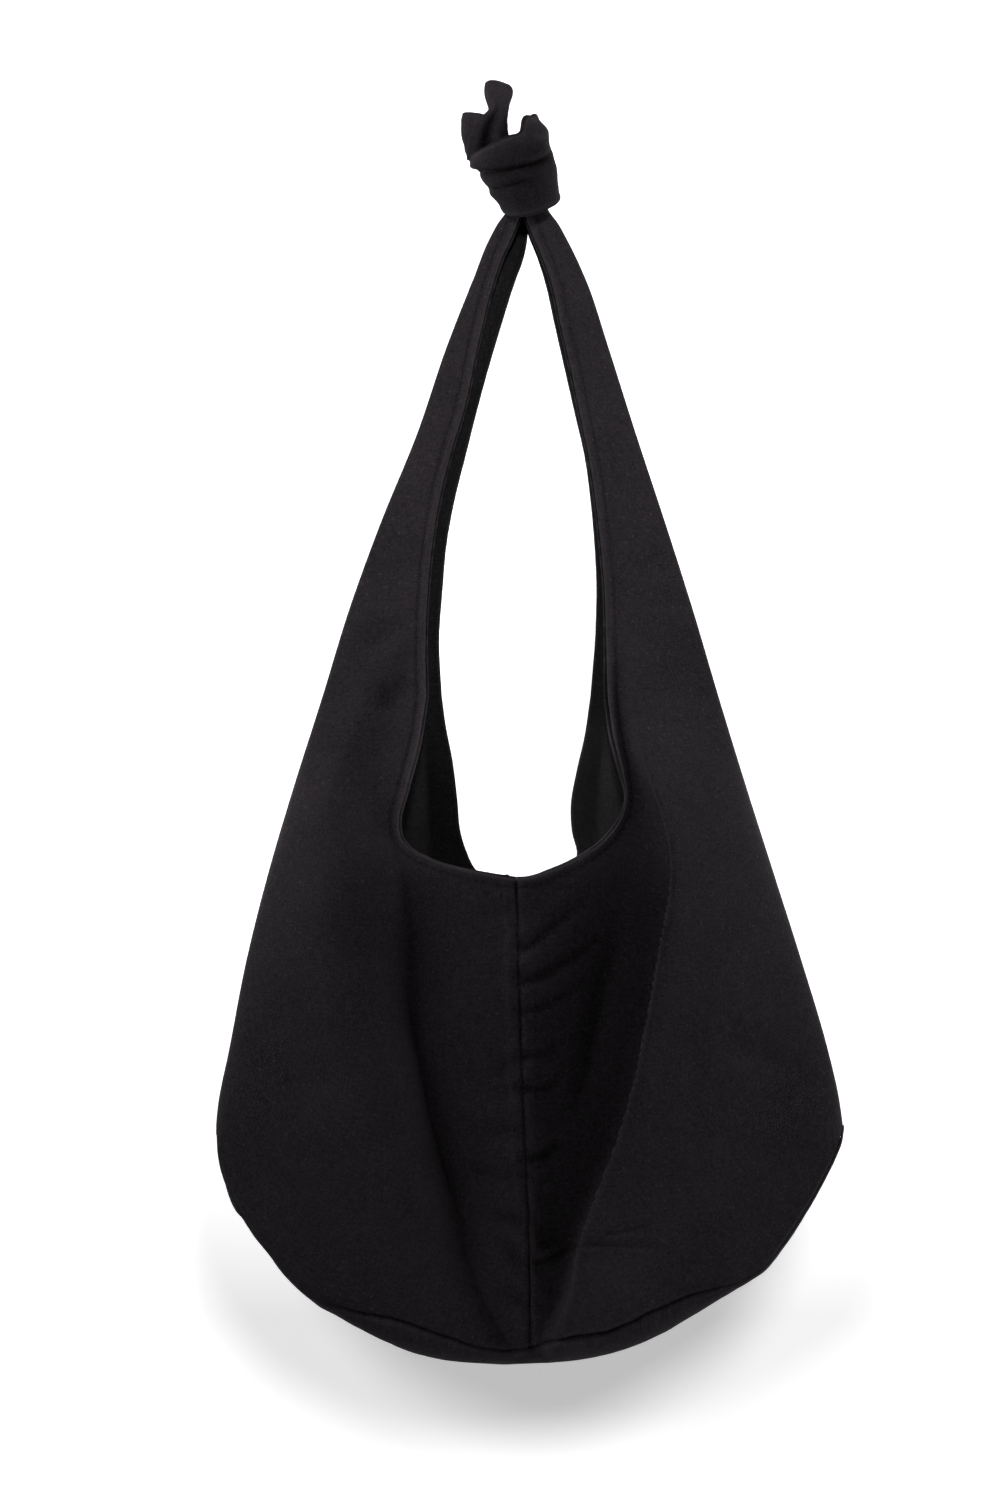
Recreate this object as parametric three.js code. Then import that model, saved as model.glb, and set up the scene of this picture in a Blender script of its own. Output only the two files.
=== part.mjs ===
// A canvas crossbody bag. Two petal-shaped halves wrap from the centre front round the sides to the back.
// Each half narrows upwards into a strap folded lengthwise, and the two strap ends are tied in a knot.
// A lens-shaped base closes the bottom, and a lining of the same cut lies inside.
// Millimetres. +Z is up, +X is to the right seen from the front, and the front faces -Y.
// The origin is the fork under the knot, where the bag hangs. A drop is a distance below it.
import * as THREE from 'three';

// Cloth and the spaces between its layers
const CANVAS = 1.4;
const LINING = 0.8;
const CLEARANCE = 0.3;
const LAYER_GAP = 0.8;

// Straps: distances from the middle of the bag, at the knot and at the crease where they become the bag
const THROAT_RISE = 8;
const THROAT_OUTER = 19.8;
const THROAT_INNER = 0.6;
const THROAT_HALF_DEPTH = 5;
const THROAT_LENGTH = 60;
const THROAT_EDGE_STEP = 4;
const CREASE_DROP = 309;
const CREASE_OUTER = 132;
const CREASE_BACK_EDGE = 52.5;
const CREASE_FRONT_EDGE = 62;
const STRAP_OUTER_BOW = 5;
const STRAP_INNER_BOW = 35;
const STRAP_SQUARENESS = 6;

// Crease: the folded cloth is pressed flat, and swings this far to the front and to the back
const CREASE_SWING = 120;
const PINCH_LENGTH = 14;

// Mouth
const MOUTH_DROP = 432;
const MOUTH_Y = -41;
const RIM_CORNER_DROP = 385;
const RIM_HALF_WIDTH = 75;
const RIM_CORNER_Y = -29;
const BACK_MOUTH_DROP = 438;
const BACK_RIM_CORNER_DROP = 395;
const BACK_RIM_HALF_WIDTH = 39;
const BACK_Y = 13;

// Body: the side folds run out to the base corners, and a hollow and a ridge lie on either side of the centre
// front. Their places are shares of the way down the body or from the centre front to the side fold.
const CORNER_DROP = 605;
const CORNER_HALF_WIDTH = 208;
const CORNER_Y = -18;
const SIDE_BOW = 15;
const SIDE_ROUNDNESS = 2.4;
const RIDGE_DEPTH = 21;
const RIDGE_PEAK = 0.78;
const RIDGE_TOP = 0.5;
const RIDGE_MOUTH = 0.7;
const RIDGE_FOOT = 0.24;
const RIDGE_WALL = 0.22;
const HOLLOW_DEPTH = 8;
const HOLLOW_TOP = 0.2;
const HOLLOW_FOOT = 0.9;
const FRONT_SEAM_BOW = 22;

// Base
const BASE_SEAM_DROP = 745;
const BASE_FRONT_Y = -51;
const BASE_BACK_Y = 9;
const BASE_SAG = 15;
const BASE_FLAT_DROP = 10.5;
const BASE_ROUNDNESS = 1.85;
const BASE_REACH = 0.97;
const BASE_HEM = 0.1;
const BASE_FLAT = 0.36;

// Knot: one strap end runs up through the core, the other winds round it as a band
const KNOT_FOOT_X = 2.7;
const KNOT_FOOT_RISE = 10;
const KNOT_TILT = 16;
const CORE_RADIUS = 10.2;
const WRAP_THICKNESS = 6.6;
const WRAP_WIDTH = 30;
const WRAP_RISE = 14;
const WRAP_TURNS = 1.5;
const EAR_RISE = 5;
const EAR_SHARE = 0.8;
const CORE_LENGTH = 57;
const FLARE_HEIGHT = 8;
const UPPER_TAIL_LENGTH = 37;
const UPPER_TAIL_NECK = 16.5;
const UPPER_TAIL_HEAD = 21;
const UPPER_TAIL_SWELL = [0.3, 0.9];
const UPPER_TAIL_THICKNESS = 9;
const UPPER_TAIL_LEAN = 6;
const SIDE_TAIL_LENGTH = 27;
const SIDE_TAIL_WIDTH = 18;
const SIDE_TAIL_THICKNESS = 8;
const TAIL_TIP_SHARE = 0.7;

// Facets
const BODY_STEPS = 14;
const STRAP_STEPS = 8;
const MOUTH_ROWS = 8;
const SEAM_ROWS = 10;
const STRAP_ROWS = 10;
const BAND_SIDES = 12;
const BAND_STEPS = 30;
const BAND_SQUARENESS = 4;
const ROUND = 2;
const ROUND_SHARES = [0.03, 0.3, 1];

const { lerp, degToRad, smoothstep } = THREE.MathUtils;
const QUARTER_TURN = Math.PI / 2;
const QUARTER_ELLIPSE_HANDLE = 0.5523;
const NUDGE = 1e-3;

const STRAP_HALF_DEPTH = CANVAS / 2 + CLEARANCE + LINING + LAYER_GAP;
const PINCH_HALF_DEPTH = CANVAS / 2 + CLEARANCE;
const CREASE_GAP = (PINCH_HALF_DEPTH + CANVAS / 2) / Math.tan(degToRad(90 - CREASE_SWING / 2)) + CLEARANCE;
const LINING_INSET = CANVAS / 2 + CLEARANCE + LINING / 2;
const MOUTH_SHARE = MOUTH_ROWS / (MOUTH_ROWS + SEAM_ROWS);
const SEAM_X = CLEARANCE / 2;

const place = (x, y, drop) => new THREE.Vector3(x, y, -drop);

// A curve between two points, pulled sideways in the middle.
function bowed(start, end, bowX, bowY) {
  const middle = start.clone().lerp(end, 0.5).add(new THREE.Vector3(bowX, bowY, 0));
  return new THREE.QuadraticBezierCurve3(start, middle, end);
}

// Half the mouth's edge: down from the crease to a corner, then a quarter ellipse to the middle.
function rimCurve(start, corner, middle) {
  const third = (corner.z - start.z) / 3;
  const arcDrop = new THREE.Vector3(0, 0, QUARTER_ELLIPSE_HANDLE * (middle.z - corner.z));
  const arcReach = new THREE.Vector3(QUARTER_ELLIPSE_HANDLE * (corner.x - middle.x), 0, 0);
  const path = new THREE.CurvePath();
  path.add(new THREE.CubicBezierCurve3(
    start,
    start.clone().add(new THREE.Vector3(0, 0, third)),
    new THREE.Vector3(corner.x, lerp(start.y, corner.y, 2 / 3), corner.z - third),
    corner,
  ));
  path.add(new THREE.CubicBezierCurve3(
    corner,
    corner.clone().add(arcDrop),
    middle.clone().add(arcReach),
    middle,
  ));
  return path;
}

const frontRim = rimCurve(
  place(CREASE_FRONT_EDGE, -PINCH_HALF_DEPTH, CREASE_DROP),
  place(RIM_HALF_WIDTH, RIM_CORNER_Y, RIM_CORNER_DROP),
  place(SEAM_X, MOUTH_Y, MOUTH_DROP),
);
const backRim = rimCurve(
  place(CREASE_BACK_EDGE, PINCH_HALF_DEPTH, CREASE_DROP),
  place(BACK_RIM_HALF_WIDTH, BACK_Y, BACK_RIM_CORNER_DROP),
  place(SEAM_X, BACK_Y, BACK_MOUTH_DROP),
);
const frontSeam = bowed(
  place(SEAM_X, MOUTH_Y, MOUTH_DROP), place(SEAM_X, BASE_FRONT_Y, BASE_SEAM_DROP), 0, FRONT_SEAM_BOW);
const backSeam = bowed(
  place(SEAM_X, BACK_Y, BACK_MOUTH_DROP), place(SEAM_X, BASE_BACK_Y, BASE_SEAM_DROP), 0, 0);
const sideFold = bowed(
  place(CREASE_OUTER, 0, CREASE_DROP), place(CORNER_HALF_WIDTH, CORNER_Y, CORNER_DROP), SIDE_BOW, 0);
const strapOuter = bowed(
  place(THROAT_OUTER, 0, -THROAT_RISE), place(CREASE_OUTER, 0, CREASE_DROP), STRAP_OUTER_BOW, 0);
const strapInner = bowed(
  place(THROAT_INNER, 0, -THROAT_RISE), place(CREASE_BACK_EDGE, 0, CREASE_DROP), STRAP_INNER_BOW, 0);

// Height of a rounded profile that is 1 at the middle and 0 at the end, for a share of its half width.
function roundedProfile(share, roundness) {
  return Math.pow(1 - Math.pow(Math.min(share, 1), roundness), 1 / roundness);
}

// How far the cloth stands off the crease's axis, so that the fold can swing without its layers meeting.
const creaseGap = (depthShare) => CLEARANCE / 2 + CREASE_GAP * depthShare;

// A rise from 0 to 1 that starts and ends level.
const eased = (share) => Math.pow(Math.sin(share * QUARTER_TURN), 2);

// The front's relief: level at the seam or rim, sunk in the hollow, highest at the ridge's crest and gone at
// the side fold.
function relief(share, v) {
  const crest = v < MOUTH_SHARE
    ? lerp(RIDGE_TOP, RIDGE_MOUTH, v / MOUTH_SHARE)
    : lerp(RIDGE_MOUTH, RIDGE_FOOT, (v - MOUTH_SHARE) / (1 - MOUTH_SHARE));
  const valley = crest - RIDGE_WALL;
  const height = RIDGE_DEPTH * Math.sin(QUARTER_TURN * Math.min(v / RIDGE_PEAK, (1 - v) / (1 - RIDGE_PEAK)));
  const sunk = HOLLOW_DEPTH * smoothstep(v, 0, HOLLOW_TOP) * (1 - smoothstep(v, HOLLOW_FOOT, 1));
  if (share < valley) {
    return -sunk * eased(share / valley);
  }
  if (share < crest) {
    return lerp(-sunk, height, eased((share - valley) / RIDGE_WALL));
  }
  return height * eased((1 - share) / (1 - crest));
}

// One half of the body: u runs from the front edge (-1) round the side fold (0) to the back edge (1),
// and v from the crease (0) past the mouth's middle to the base seam (1).
function bodyPoint(u, v) {
  const share = Math.cos(u * QUARTER_TURN);
  const rim = u < 0 ? frontRim : backRim;
  const seam = u < 0 ? frontSeam : backSeam;
  const edge = v < MOUTH_SHARE
    ? rim.getPoint(v / MOUTH_SHARE)
    : seam.getPoint((v - MOUTH_SHARE) / (1 - MOUTH_SHARE));
  const fold = sideFold.getPoint(v);
  const depthShare = roundedProfile(
    share, lerp(STRAP_SQUARENESS, SIDE_ROUNDNESS, smoothstep(v, 0, MOUTH_SHARE)));
  const baseRound = roundedProfile(share, BASE_ROUNDNESS) - (1 - share);
  const point = new THREE.Vector3(
    lerp(edge.x, fold.x, share), lerp(fold.y, edge.y, depthShare), lerp(edge.z, fold.z, share));
  point.z -= (BASE_SEAM_DROP - CORNER_DROP) * baseRound * v * v;
  point.z -= creaseGap(depthShare) * (1 - smoothstep(v, 0, MOUTH_SHARE / 2));
  if (u < 0) {
    point.y -= relief(share, v);
  }
  return point;
}

// One strap: u runs from its front edge (-1) round the outer fold (0) to its back edge (1),
// and v from the knot (0) to the crease (1).
function strapPoint(u, v) {
  const share = Math.cos(u * QUARTER_TURN);
  const inner = strapInner.getPoint(v);
  const outer = strapOuter.getPoint(v);
  const edgeStep = u < 0 ? lerp(THROAT_EDGE_STEP, CREASE_FRONT_EDGE - CREASE_BACK_EDGE, v) : 0;
  const below = THROAT_RISE - outer.z;
  const above = CREASE_DROP + outer.z;
  const bunched = lerp(THROAT_HALF_DEPTH, STRAP_HALF_DEPTH, smoothstep(below, 0, THROAT_LENGTH));
  const halfDepth = lerp(PINCH_HALF_DEPTH, bunched, smoothstep(above, 0, PINCH_LENGTH));
  const depthShare = roundedProfile(share, STRAP_SQUARENESS);
  const lift = creaseGap(depthShare) * (1 - smoothstep(above, 0, 2 * PINCH_LENGTH));
  return new THREE.Vector3(
    lerp(inner.x + edgeStep, outer.x, share), Math.sign(u) * halfDepth * depthShare, outer.z + lift);
}

// The base: u runs from the left corner (-1) to the right one (1), and v from the front seam (0) to the back
// one (1). It hangs slack between its seams, and its lowest part is flat.
function basePoint(u, v) {
  const share = Math.abs(Math.sin(u * QUARTER_TURN));
  const height = BASE_SEAM_DROP - CORNER_DROP;
  const fall = roundedProfile(share, BASE_ROUNDNESS);
  const out = new THREE.Vector2(
    Math.pow(share, BASE_ROUNDNESS - 1) / CORNER_HALF_WIDTH, Math.pow(fall, BASE_ROUNDNESS - 1) / height);
  out.normalize().multiplyScalar(CANVAS / 2 + CLEARANCE + BASE_SAG * fall * 4 * v * (1 - v));
  const depthShare = roundedProfile(share, SIDE_ROUNDNESS);
  const frontY = lerp(CORNER_Y, BASE_FRONT_Y, depthShare) - CANVAS / 2;
  const backY = lerp(CORNER_Y, BASE_BACK_Y, depthShare) + CANVAS / 2;
  const x = CORNER_HALF_WIDTH * share + out.x;
  const drop = Math.min(CORNER_DROP + height * fall + out.y, BASE_SEAM_DROP + BASE_FLAT_DROP);
  return place(Math.sign(u) * x, lerp(frontY, backY, v), drop);
}

// Evenly spaced values, both ends included.
const spaced = (from, to, steps) => Array.from({ length: steps + 1 }, (_, i) => lerp(from, to, i / steps));

// A closed surface from points and triangles.
function closedGeometry(points, triangles) {
  const geometry = new THREE.BufferGeometry();
  geometry.setFromPoints(points);
  geometry.setIndex(triangles);
  geometry.computeVertexNormals();
  return geometry;
}

// A sheet of cloth with a thickness, whose middle lies a distance inside the surface that is given.
function sheetGeometry(surface, us, vs, thickness, inset) {
  const nudged = (value, list, step) => THREE.MathUtils.clamp(value + step, list[0], list[list.length - 1]);
  const faces = [[], []];
  for (const v of vs) {
    for (const u of us) {
      const across = surface(nudged(u, us, NUDGE), v).sub(surface(nudged(u, us, -NUDGE), v));
      const along = surface(u, nudged(v, vs, NUDGE)).sub(surface(u, nudged(v, vs, -NUDGE)));
      const normal = along.cross(across).normalize();
      const middle = surface(u, v).addScaledVector(normal, -inset);
      faces[0].push(middle.clone().addScaledVector(normal, thickness / 2));
      faces[1].push(middle.clone().addScaledVector(normal, -thickness / 2));
    }
  }
  const columns = us.length;
  const inner = faces[0].length;
  const at = (row, column) => row * columns + column;
  const triangles = [];
  const quad = (a, b, c, d) => triangles.push(a, b, c, a, c, d);
  for (let row = 0; row + 1 < vs.length; row++) {
    for (let column = 0; column + 1 < columns; column++) {
      const [a, b] = [at(row, column), at(row + 1, column)];
      const [c, d] = [b + 1, a + 1];
      quad(a, b, c, d);
      quad(a + inner, d + inner, c + inner, b + inner);
    }
    const [near, far] = [at(row, 0), at(row + 1, 0)];
    quad(near, near + inner, far + inner, far);
    const [nearEnd, farEnd] = [at(row, columns - 1), at(row + 1, columns - 1)];
    quad(farEnd, farEnd + inner, nearEnd + inner, nearEnd);
  }
  for (let column = 0; column + 1 < columns; column++) {
    const [left, right] = [at(0, column), at(0, column + 1)];
    quad(right, right + inner, left + inner, left);
    const [leftEnd, rightEnd] = [at(vs.length - 1, column), at(vs.length - 1, column + 1)];
    quad(leftEnd, leftEnd + inner, rightEnd + inner, rightEnd);
  }
  return closedGeometry([...faces[0], ...faces[1]], triangles);
}

// A solid through rings of points, closed by a fan at each end.
function ringsGeometry(rings) {
  const sides = rings[0].length;
  const points = rings.flat();
  const triangles = [];
  for (let ring = 0; ring + 1 < rings.length; ring++) {
    for (let side = 0; side < sides; side++) {
      const next = (side + 1) % sides;
      const [a, b] = [ring * sides + side, ring * sides + next];
      triangles.push(a, b, b + sides, a, b + sides, a + sides);
    }
  }
  const last = (rings.length - 1) * sides;
  for (let side = 1; side + 1 < sides; side++) {
    triangles.push(0, side + 1, side);
    triangles.push(last, last + side, last + side + 1);
  }
  return closedGeometry(points, triangles);
}

// A ring with squared-off round corners about a centre, in the plane of two unit directions.
function bandRing(centre, widthWay, halfWidth, depthWay, halfDepth, squareness) {
  const stretched = (value) => Math.sign(value) * Math.pow(Math.abs(value), 2 / squareness);
  return spaced(0, 2 * Math.PI, BAND_SIDES).slice(0, BAND_SIDES).map((angle) => centre.clone()
    .addScaledVector(widthWay, halfWidth * stretched(Math.cos(angle)))
    .addScaledVector(depthWay, halfDepth * stretched(Math.sin(angle))));
}

// Knot axes: up along the leaning knot, to the right, and towards the front and back
const leaningUp = (lean) => new THREE.Vector3(-Math.sin(degToRad(lean)), 0, Math.cos(degToRad(lean)));
const leaningRight = (lean) => new THREE.Vector3(Math.cos(degToRad(lean)), 0, Math.sin(degToRad(lean)));
const knotUp = leaningUp(KNOT_TILT);
const knotRight = leaningRight(KNOT_TILT);
const front = new THREE.Vector3(0, -1, 0);
const back = new THREE.Vector3(0, 1, 0);
const knotFoot = new THREE.Vector3(KNOT_FOOT_X, 0, KNOT_FOOT_RISE);
const WRAP_RADIUS = CORE_RADIUS + 2 * CLEARANCE + WRAP_THICKNESS / 2;
const WRAP_SPREAD = WRAP_THICKNESS + 2 * CLEARANCE;
const WRAP_START = FLARE_HEIGHT + CLEARANCE + WRAP_WIDTH / 2;
const LEFT_PASS_HEIGHT = WRAP_START + WRAP_RISE + WRAP_WIDTH / 2;

// The band winds up and out from the left across the front, and its end stands up as an ear on the right.
function wrapRing(share) {
  const turns = share * WRAP_TURNS;
  const angle = turns * 2 * Math.PI;
  const outward = knotRight.clone().multiplyScalar(-Math.cos(angle)).addScaledVector(front, Math.sin(angle));
  const rise = WRAP_START + WRAP_RISE * turns + EAR_RISE * smoothstep(share, EAR_SHARE, 1);
  const radius = WRAP_RADIUS + WRAP_SPREAD * turns;
  const centre = knotFoot.clone().addScaledVector(knotUp, rise).addScaledVector(outward, radius);
  return bandRing(centre, knotUp, WRAP_WIDTH / 2, outward, WRAP_THICKNESS / 2, BAND_SQUARENESS);
}

// The bunched straps: flat and wide at the throat, round inside the band.
function coreRings() {
  const throat = bandRing(
    new THREE.Vector3(0, 0, THROAT_RISE + CLEARANCE), new THREE.Vector3(1, 0, 0), THROAT_OUTER - CANVAS,
    back, THROAT_HALF_DEPTH, ROUND);
  const round = (height, lean) => bandRing(
    knotFoot.clone().addScaledVector(knotUp, height), leaningRight(lean), CORE_RADIUS,
    back, CORE_RADIUS, ROUND);
  return [throat, round(FLARE_HEIGHT, KNOT_TILT), round(CORE_LENGTH, UPPER_TAIL_LEAN)];
}

// A strap end that stands on a rounded foot, on which it can tip to the front and back.
function tailRings(foot, lean, length, thickness, halfWidthAt, roundEnd) {
  const radius = thickness / 2;
  const roundSteps = ROUND_SHARES.map((share) => share * radius);
  const endSteps = roundEnd ? roundSteps.map((step) => length - step).reverse() : [length];
  const steps = [...roundSteps, length / 2, ...endSteps];
  const rounded = (step) => (step < radius ? Math.sqrt(radius ** 2 - (radius - step) ** 2) : radius);
  return steps.map((step) => {
    const endRound = roundEnd ? rounded(length - step) : radius;
    const halfWidth = halfWidthAt(step / length) * lerp(TAIL_TIP_SHARE, 1, endRound / radius);
    return bandRing(
      foot.clone().addScaledVector(leaningUp(lean), step), leaningRight(lean), halfWidth,
      back, Math.min(rounded(step), endRound), BAND_SQUARENESS);
  });
}

const bodySteps = spaced(-1, 1, 2 * BODY_STEPS);
const strapSteps = spaced(-1, 1, 2 * STRAP_STEPS);
const bodyRows = spaced(0, 1, MOUTH_ROWS + SEAM_ROWS);
const strapRows = spaced(0, 1, STRAP_ROWS);
const baseSteps = bodySteps.map((u) => THREE.MathUtils.clamp(u, -BASE_REACH, BASE_REACH));
const baseRows = [0, BASE_HEM, BASE_FLAT, 1 - BASE_FLAT, 1 - BASE_HEM, 1];
const panel = sheetGeometry(bodyPoint, bodySteps, bodyRows, CANVAS, 0);
const strap = sheetGeometry(strapPoint, strapSteps, strapRows, CANVAS, 0);
const panelLining = sheetGeometry(bodyPoint, bodySteps, bodyRows.slice(1), LINING, LINING_INSET);
const strapLining = sheetGeometry(strapPoint, strapSteps, strapRows.slice(0, -1), LINING, LINING_INSET);
const base = sheetGeometry(basePoint, baseSteps, baseRows, CANVAS, 0);
const baseLining = sheetGeometry(
  basePoint, baseSteps.slice(1, -1), baseRows.slice(1, -1), LINING, LINING_INSET);

const upperFoot = knotFoot.clone()
  .addScaledVector(knotUp, CORE_LENGTH)
  .addScaledVector(leaningUp(UPPER_TAIL_LEAN), CLEARANCE);
const upperTail = tailRings(
  upperFoot, UPPER_TAIL_LEAN, UPPER_TAIL_LENGTH, UPPER_TAIL_THICKNESS,
  (share) => lerp(UPPER_TAIL_NECK, UPPER_TAIL_HEAD, smoothstep(share, ...UPPER_TAIL_SWELL)) / 2, true);
const sideFoot = knotFoot.clone()
  .addScaledVector(knotUp, LEFT_PASS_HEIGHT + CLEARANCE)
  .addScaledVector(knotRight, -CORE_RADIUS - 2 * CLEARANCE - SIDE_TAIL_WIDTH / 2);
const sideTail = tailRings(
  sideFoot, KNOT_TILT, SIDE_TAIL_LENGTH, SIDE_TAIL_THICKNESS, () => SIDE_TAIL_WIDTH / 2, false);

const bag = new THREE.Group();

function addPiece(name, geometry, cloth, mirrored) {
  const mesh = new THREE.Mesh(geometry, new THREE.MeshStandardMaterial(cloth));
  mesh.name = name;
  mesh.scale.x = mirrored ? -1 : 1;
  bag.add(mesh);
}

const canvasCloth = { color: 0x1e1b1e, roughness: 0.92, metalness: 0 };
const liningCloth = { color: 0x161516, roughness: 0.88, metalness: 0 };
for (const [side, mirrored] of [['left', true], ['right', false]]) {
  addPiece(side + '_panel', panel, canvasCloth, mirrored);
  addPiece(side + '_lining', panelLining, liningCloth, mirrored);
  addPiece(side + '_strap', strap, canvasCloth, mirrored);
  addPiece(side + '_strap_lining', strapLining, liningCloth, mirrored);
}
addPiece('base_panel', base, canvasCloth, false);
addPiece('base_lining', baseLining, liningCloth, false);
addPiece('knot_wrap', ringsGeometry(spaced(0, 1, BAND_STEPS).map(wrapRing)), canvasCloth, false);
addPiece('knot_core', ringsGeometry(coreRings()), canvasCloth, false);
addPiece('upper_tail', ringsGeometry(upperTail), canvasCloth, false);
addPiece('side_tail', ringsGeometry(sideTail), canvasCloth, false);

export default bag;
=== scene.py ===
import math

import bpy
import numpy as np
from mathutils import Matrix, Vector
from mathutils.bvhtree import BVHTree


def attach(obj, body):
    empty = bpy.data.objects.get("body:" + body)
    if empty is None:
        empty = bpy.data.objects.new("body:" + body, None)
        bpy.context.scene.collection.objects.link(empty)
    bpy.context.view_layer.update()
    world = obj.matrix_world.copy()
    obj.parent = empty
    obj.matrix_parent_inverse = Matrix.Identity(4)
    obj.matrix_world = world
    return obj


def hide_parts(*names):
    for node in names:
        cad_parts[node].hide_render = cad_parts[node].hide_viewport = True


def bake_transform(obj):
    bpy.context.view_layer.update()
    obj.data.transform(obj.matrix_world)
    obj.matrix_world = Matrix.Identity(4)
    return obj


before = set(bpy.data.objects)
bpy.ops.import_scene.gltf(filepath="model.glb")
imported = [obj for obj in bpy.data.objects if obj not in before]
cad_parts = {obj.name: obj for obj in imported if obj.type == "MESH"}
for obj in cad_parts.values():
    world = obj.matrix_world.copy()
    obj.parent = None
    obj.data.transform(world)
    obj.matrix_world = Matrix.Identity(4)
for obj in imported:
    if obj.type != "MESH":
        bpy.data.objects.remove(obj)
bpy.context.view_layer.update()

# Millimetres here, metres in Blender. Edges and folds are placed by pixels of the 1000 x 1500 photograph.
METRE = 0.001
PIXEL = 0.67
ORIGIN_PX = (525.0, 235.0)
MIDDLE_PX = (500.0, 750.0)
EYE = 2373.0
CAMERA_X = (MIDDLE_PX[0] - ORIGIN_PX[0]) * PIXEL
CAMERA_Z = (ORIGIN_PX[1] - MIDDLE_PX[1]) * PIXEL

# Cloth, hems and seams
CANVAS = 1.4
LINING = 0.8
LINING_INSET = 1.45
SEAM_LAP = 2.4
SEAM_RISE_PX = 2.5
SEAM_PAD = 0.5
SEAM_DITCH = 1.9
BASE_TURN_IN = 2.4
HEM_ROLL = 0.6
LINING_HEM = 0.35
RIM_STEP = 2.0
STITCH_PITCH = 5.0
STITCH_INSET = 5.2
STITCH_SINK = 0.3
SUNK_INSIDE = 0.6
TUCK_REACH_PX = 10.0
LEAST_FLANK_PX = 20.0
LEAST_WALL_PX = 8.0

# The painted shade and highlight along the base seam fade out between these distances from the middle
BASE_SHOWS = (105.0, 140.0)

FINE = 1
NOISE_PRIMES = np.array([374761393, 668265263, 1274126177])


# Small helpers
def lerp(a, b, t):
    return a + (b - a) * t


def smoothstep(x, low, high):
    t = np.clip((np.asarray(x, float) - low) / (high - low), 0, 1)
    return t * t * (3 - 2 * t)


def bell(x, width):
    """1 at nought and less on both sides."""
    return np.exp(-((x / width) ** 2))


def groove(off, width, power):
    """1 on a line and less beside it, with a sharper bottom the lower the power."""
    return np.exp(-np.power(off / width, power))


def hump(share, margin=0.0):
    """Half a wave over a length, nearly nought at both ends."""
    return np.sin(math.pi * np.clip(share, margin, 1 - margin))


def run_of(points):
    """How far along a line each of its points lies."""
    step = np.linalg.norm(np.diff(points, axis=0), axis=-1)
    return np.concatenate([0 * step[:1], np.cumsum(step, axis=0)])


def curve(points):
    """A smooth curve through points, for a share of its length from 0 to 1."""
    p = np.array(points, float)
    run = run_of(p)
    return through(run / run[-1], p)


def through(knots, values):
    """A smooth curve through values at the given knots."""
    knots, p = np.array(knots, float), np.array(values, float)
    flat = p.ndim == 1
    p = p[:, None] if flat else p
    slope = np.gradient(p, knots, axis=0)

    def at(t):
        t = np.clip(np.asarray(t, float), knots[0], knots[-1])
        i = np.clip(np.searchsorted(knots, t, side="right") - 1, 0, len(knots) - 2)
        h = (knots[i + 1] - knots[i])[..., None]
        s = (t - knots[i])[..., None] / h
        found = (
            (1 + 2 * s) * (1 - s) ** 2 * p[i]
            + s * (1 - s) ** 2 * h * slope[i]
            + s * s * (3 - 2 * s) * p[i + 1]
            + s * s * (s - 1) * h * slope[i + 1]
        )
        return found[..., 0] if flat else found

    return at


def by_row(points):
    """A value for each row of pixels, from pairs of a value and a row."""
    p = np.array(points, float)
    return through(p[:, 1], p[:, 0])


def by_column(points):
    """A row for each column of pixels, from pairs of a column and a row."""
    p = np.array(points, float)
    return through(p[:, 0], p[:, 1])


def always(value):
    """The same value everywhere, in place of a curve."""
    return lambda at: value + 0 * at


def place(px, py, y):
    """The point at depth y that shows at a pixel."""
    k = 1 + np.asarray(y, float) / EYE
    x = CAMERA_X + (px - MIDDLE_PX[0]) * PIXEL * k
    z = CAMERA_Z - (py - MIDDLE_PX[1]) * PIXEL * k
    return np.stack([x, y + 0 * x, z], -1)


def pixel(p):
    """The pixel at which a point shows."""
    k = (1 + p[..., 1] / EYE) * PIXEL
    return MIDDLE_PX[0] + (p[..., 0] - CAMERA_X) / k, MIDDLE_PX[1] - (p[..., 2] - CAMERA_Z) / k


def wobble(p, size, seed):
    """Smooth noise from -1 to 1."""
    q = np.asarray(p, float) / size + seed * 13.7
    i = np.floor(q).astype(np.int64)
    f = q - i
    f = f * f * f * (f * (f * 6 - 15) + 10)
    total = 0.0
    for corner in np.ndindex(2, 2, 2):
        n = ((i + corner) * NOISE_PRIMES).sum(-1)
        n = ((n ^ (n >> 13)) * NOISE_PRIMES[2]) & 0x7FFFFFFF
        n = (n ^ (n >> 16)) & 0xFFFF
        total = total + np.where(corner, f, 1 - f).prod(-1) * (n / 32767.5 - 1)
    return total


def ripples(p, waves):
    """Smooth noises added up, each with its height, size and seed, and maybe a stretch along the axes."""
    total = 0.0
    for height, size, seed, *stretch in waves:
        total = total + height * wobble(p * np.array(stretch or [1]), size, seed)
    return total


def profile(share, roundness):
    """A rounded section: 1 in the middle and nought at the side."""
    return np.power(np.clip(1 - np.power(np.clip(share, 0, 1), roundness), 0, 1), 1 / roundness)


def unit(v):
    return v / np.maximum(np.linalg.norm(v, axis=-1, keepdims=True), 1e-9)


def grid_normals(p):
    return unit(np.cross(np.gradient(p, axis=0), np.gradient(p, axis=1)))


def rounded_ramp(x, soft):
    """The positive part of a value, with a rounded start."""
    return (x + np.sqrt(x * x + soft * soft)) / 2


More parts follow.
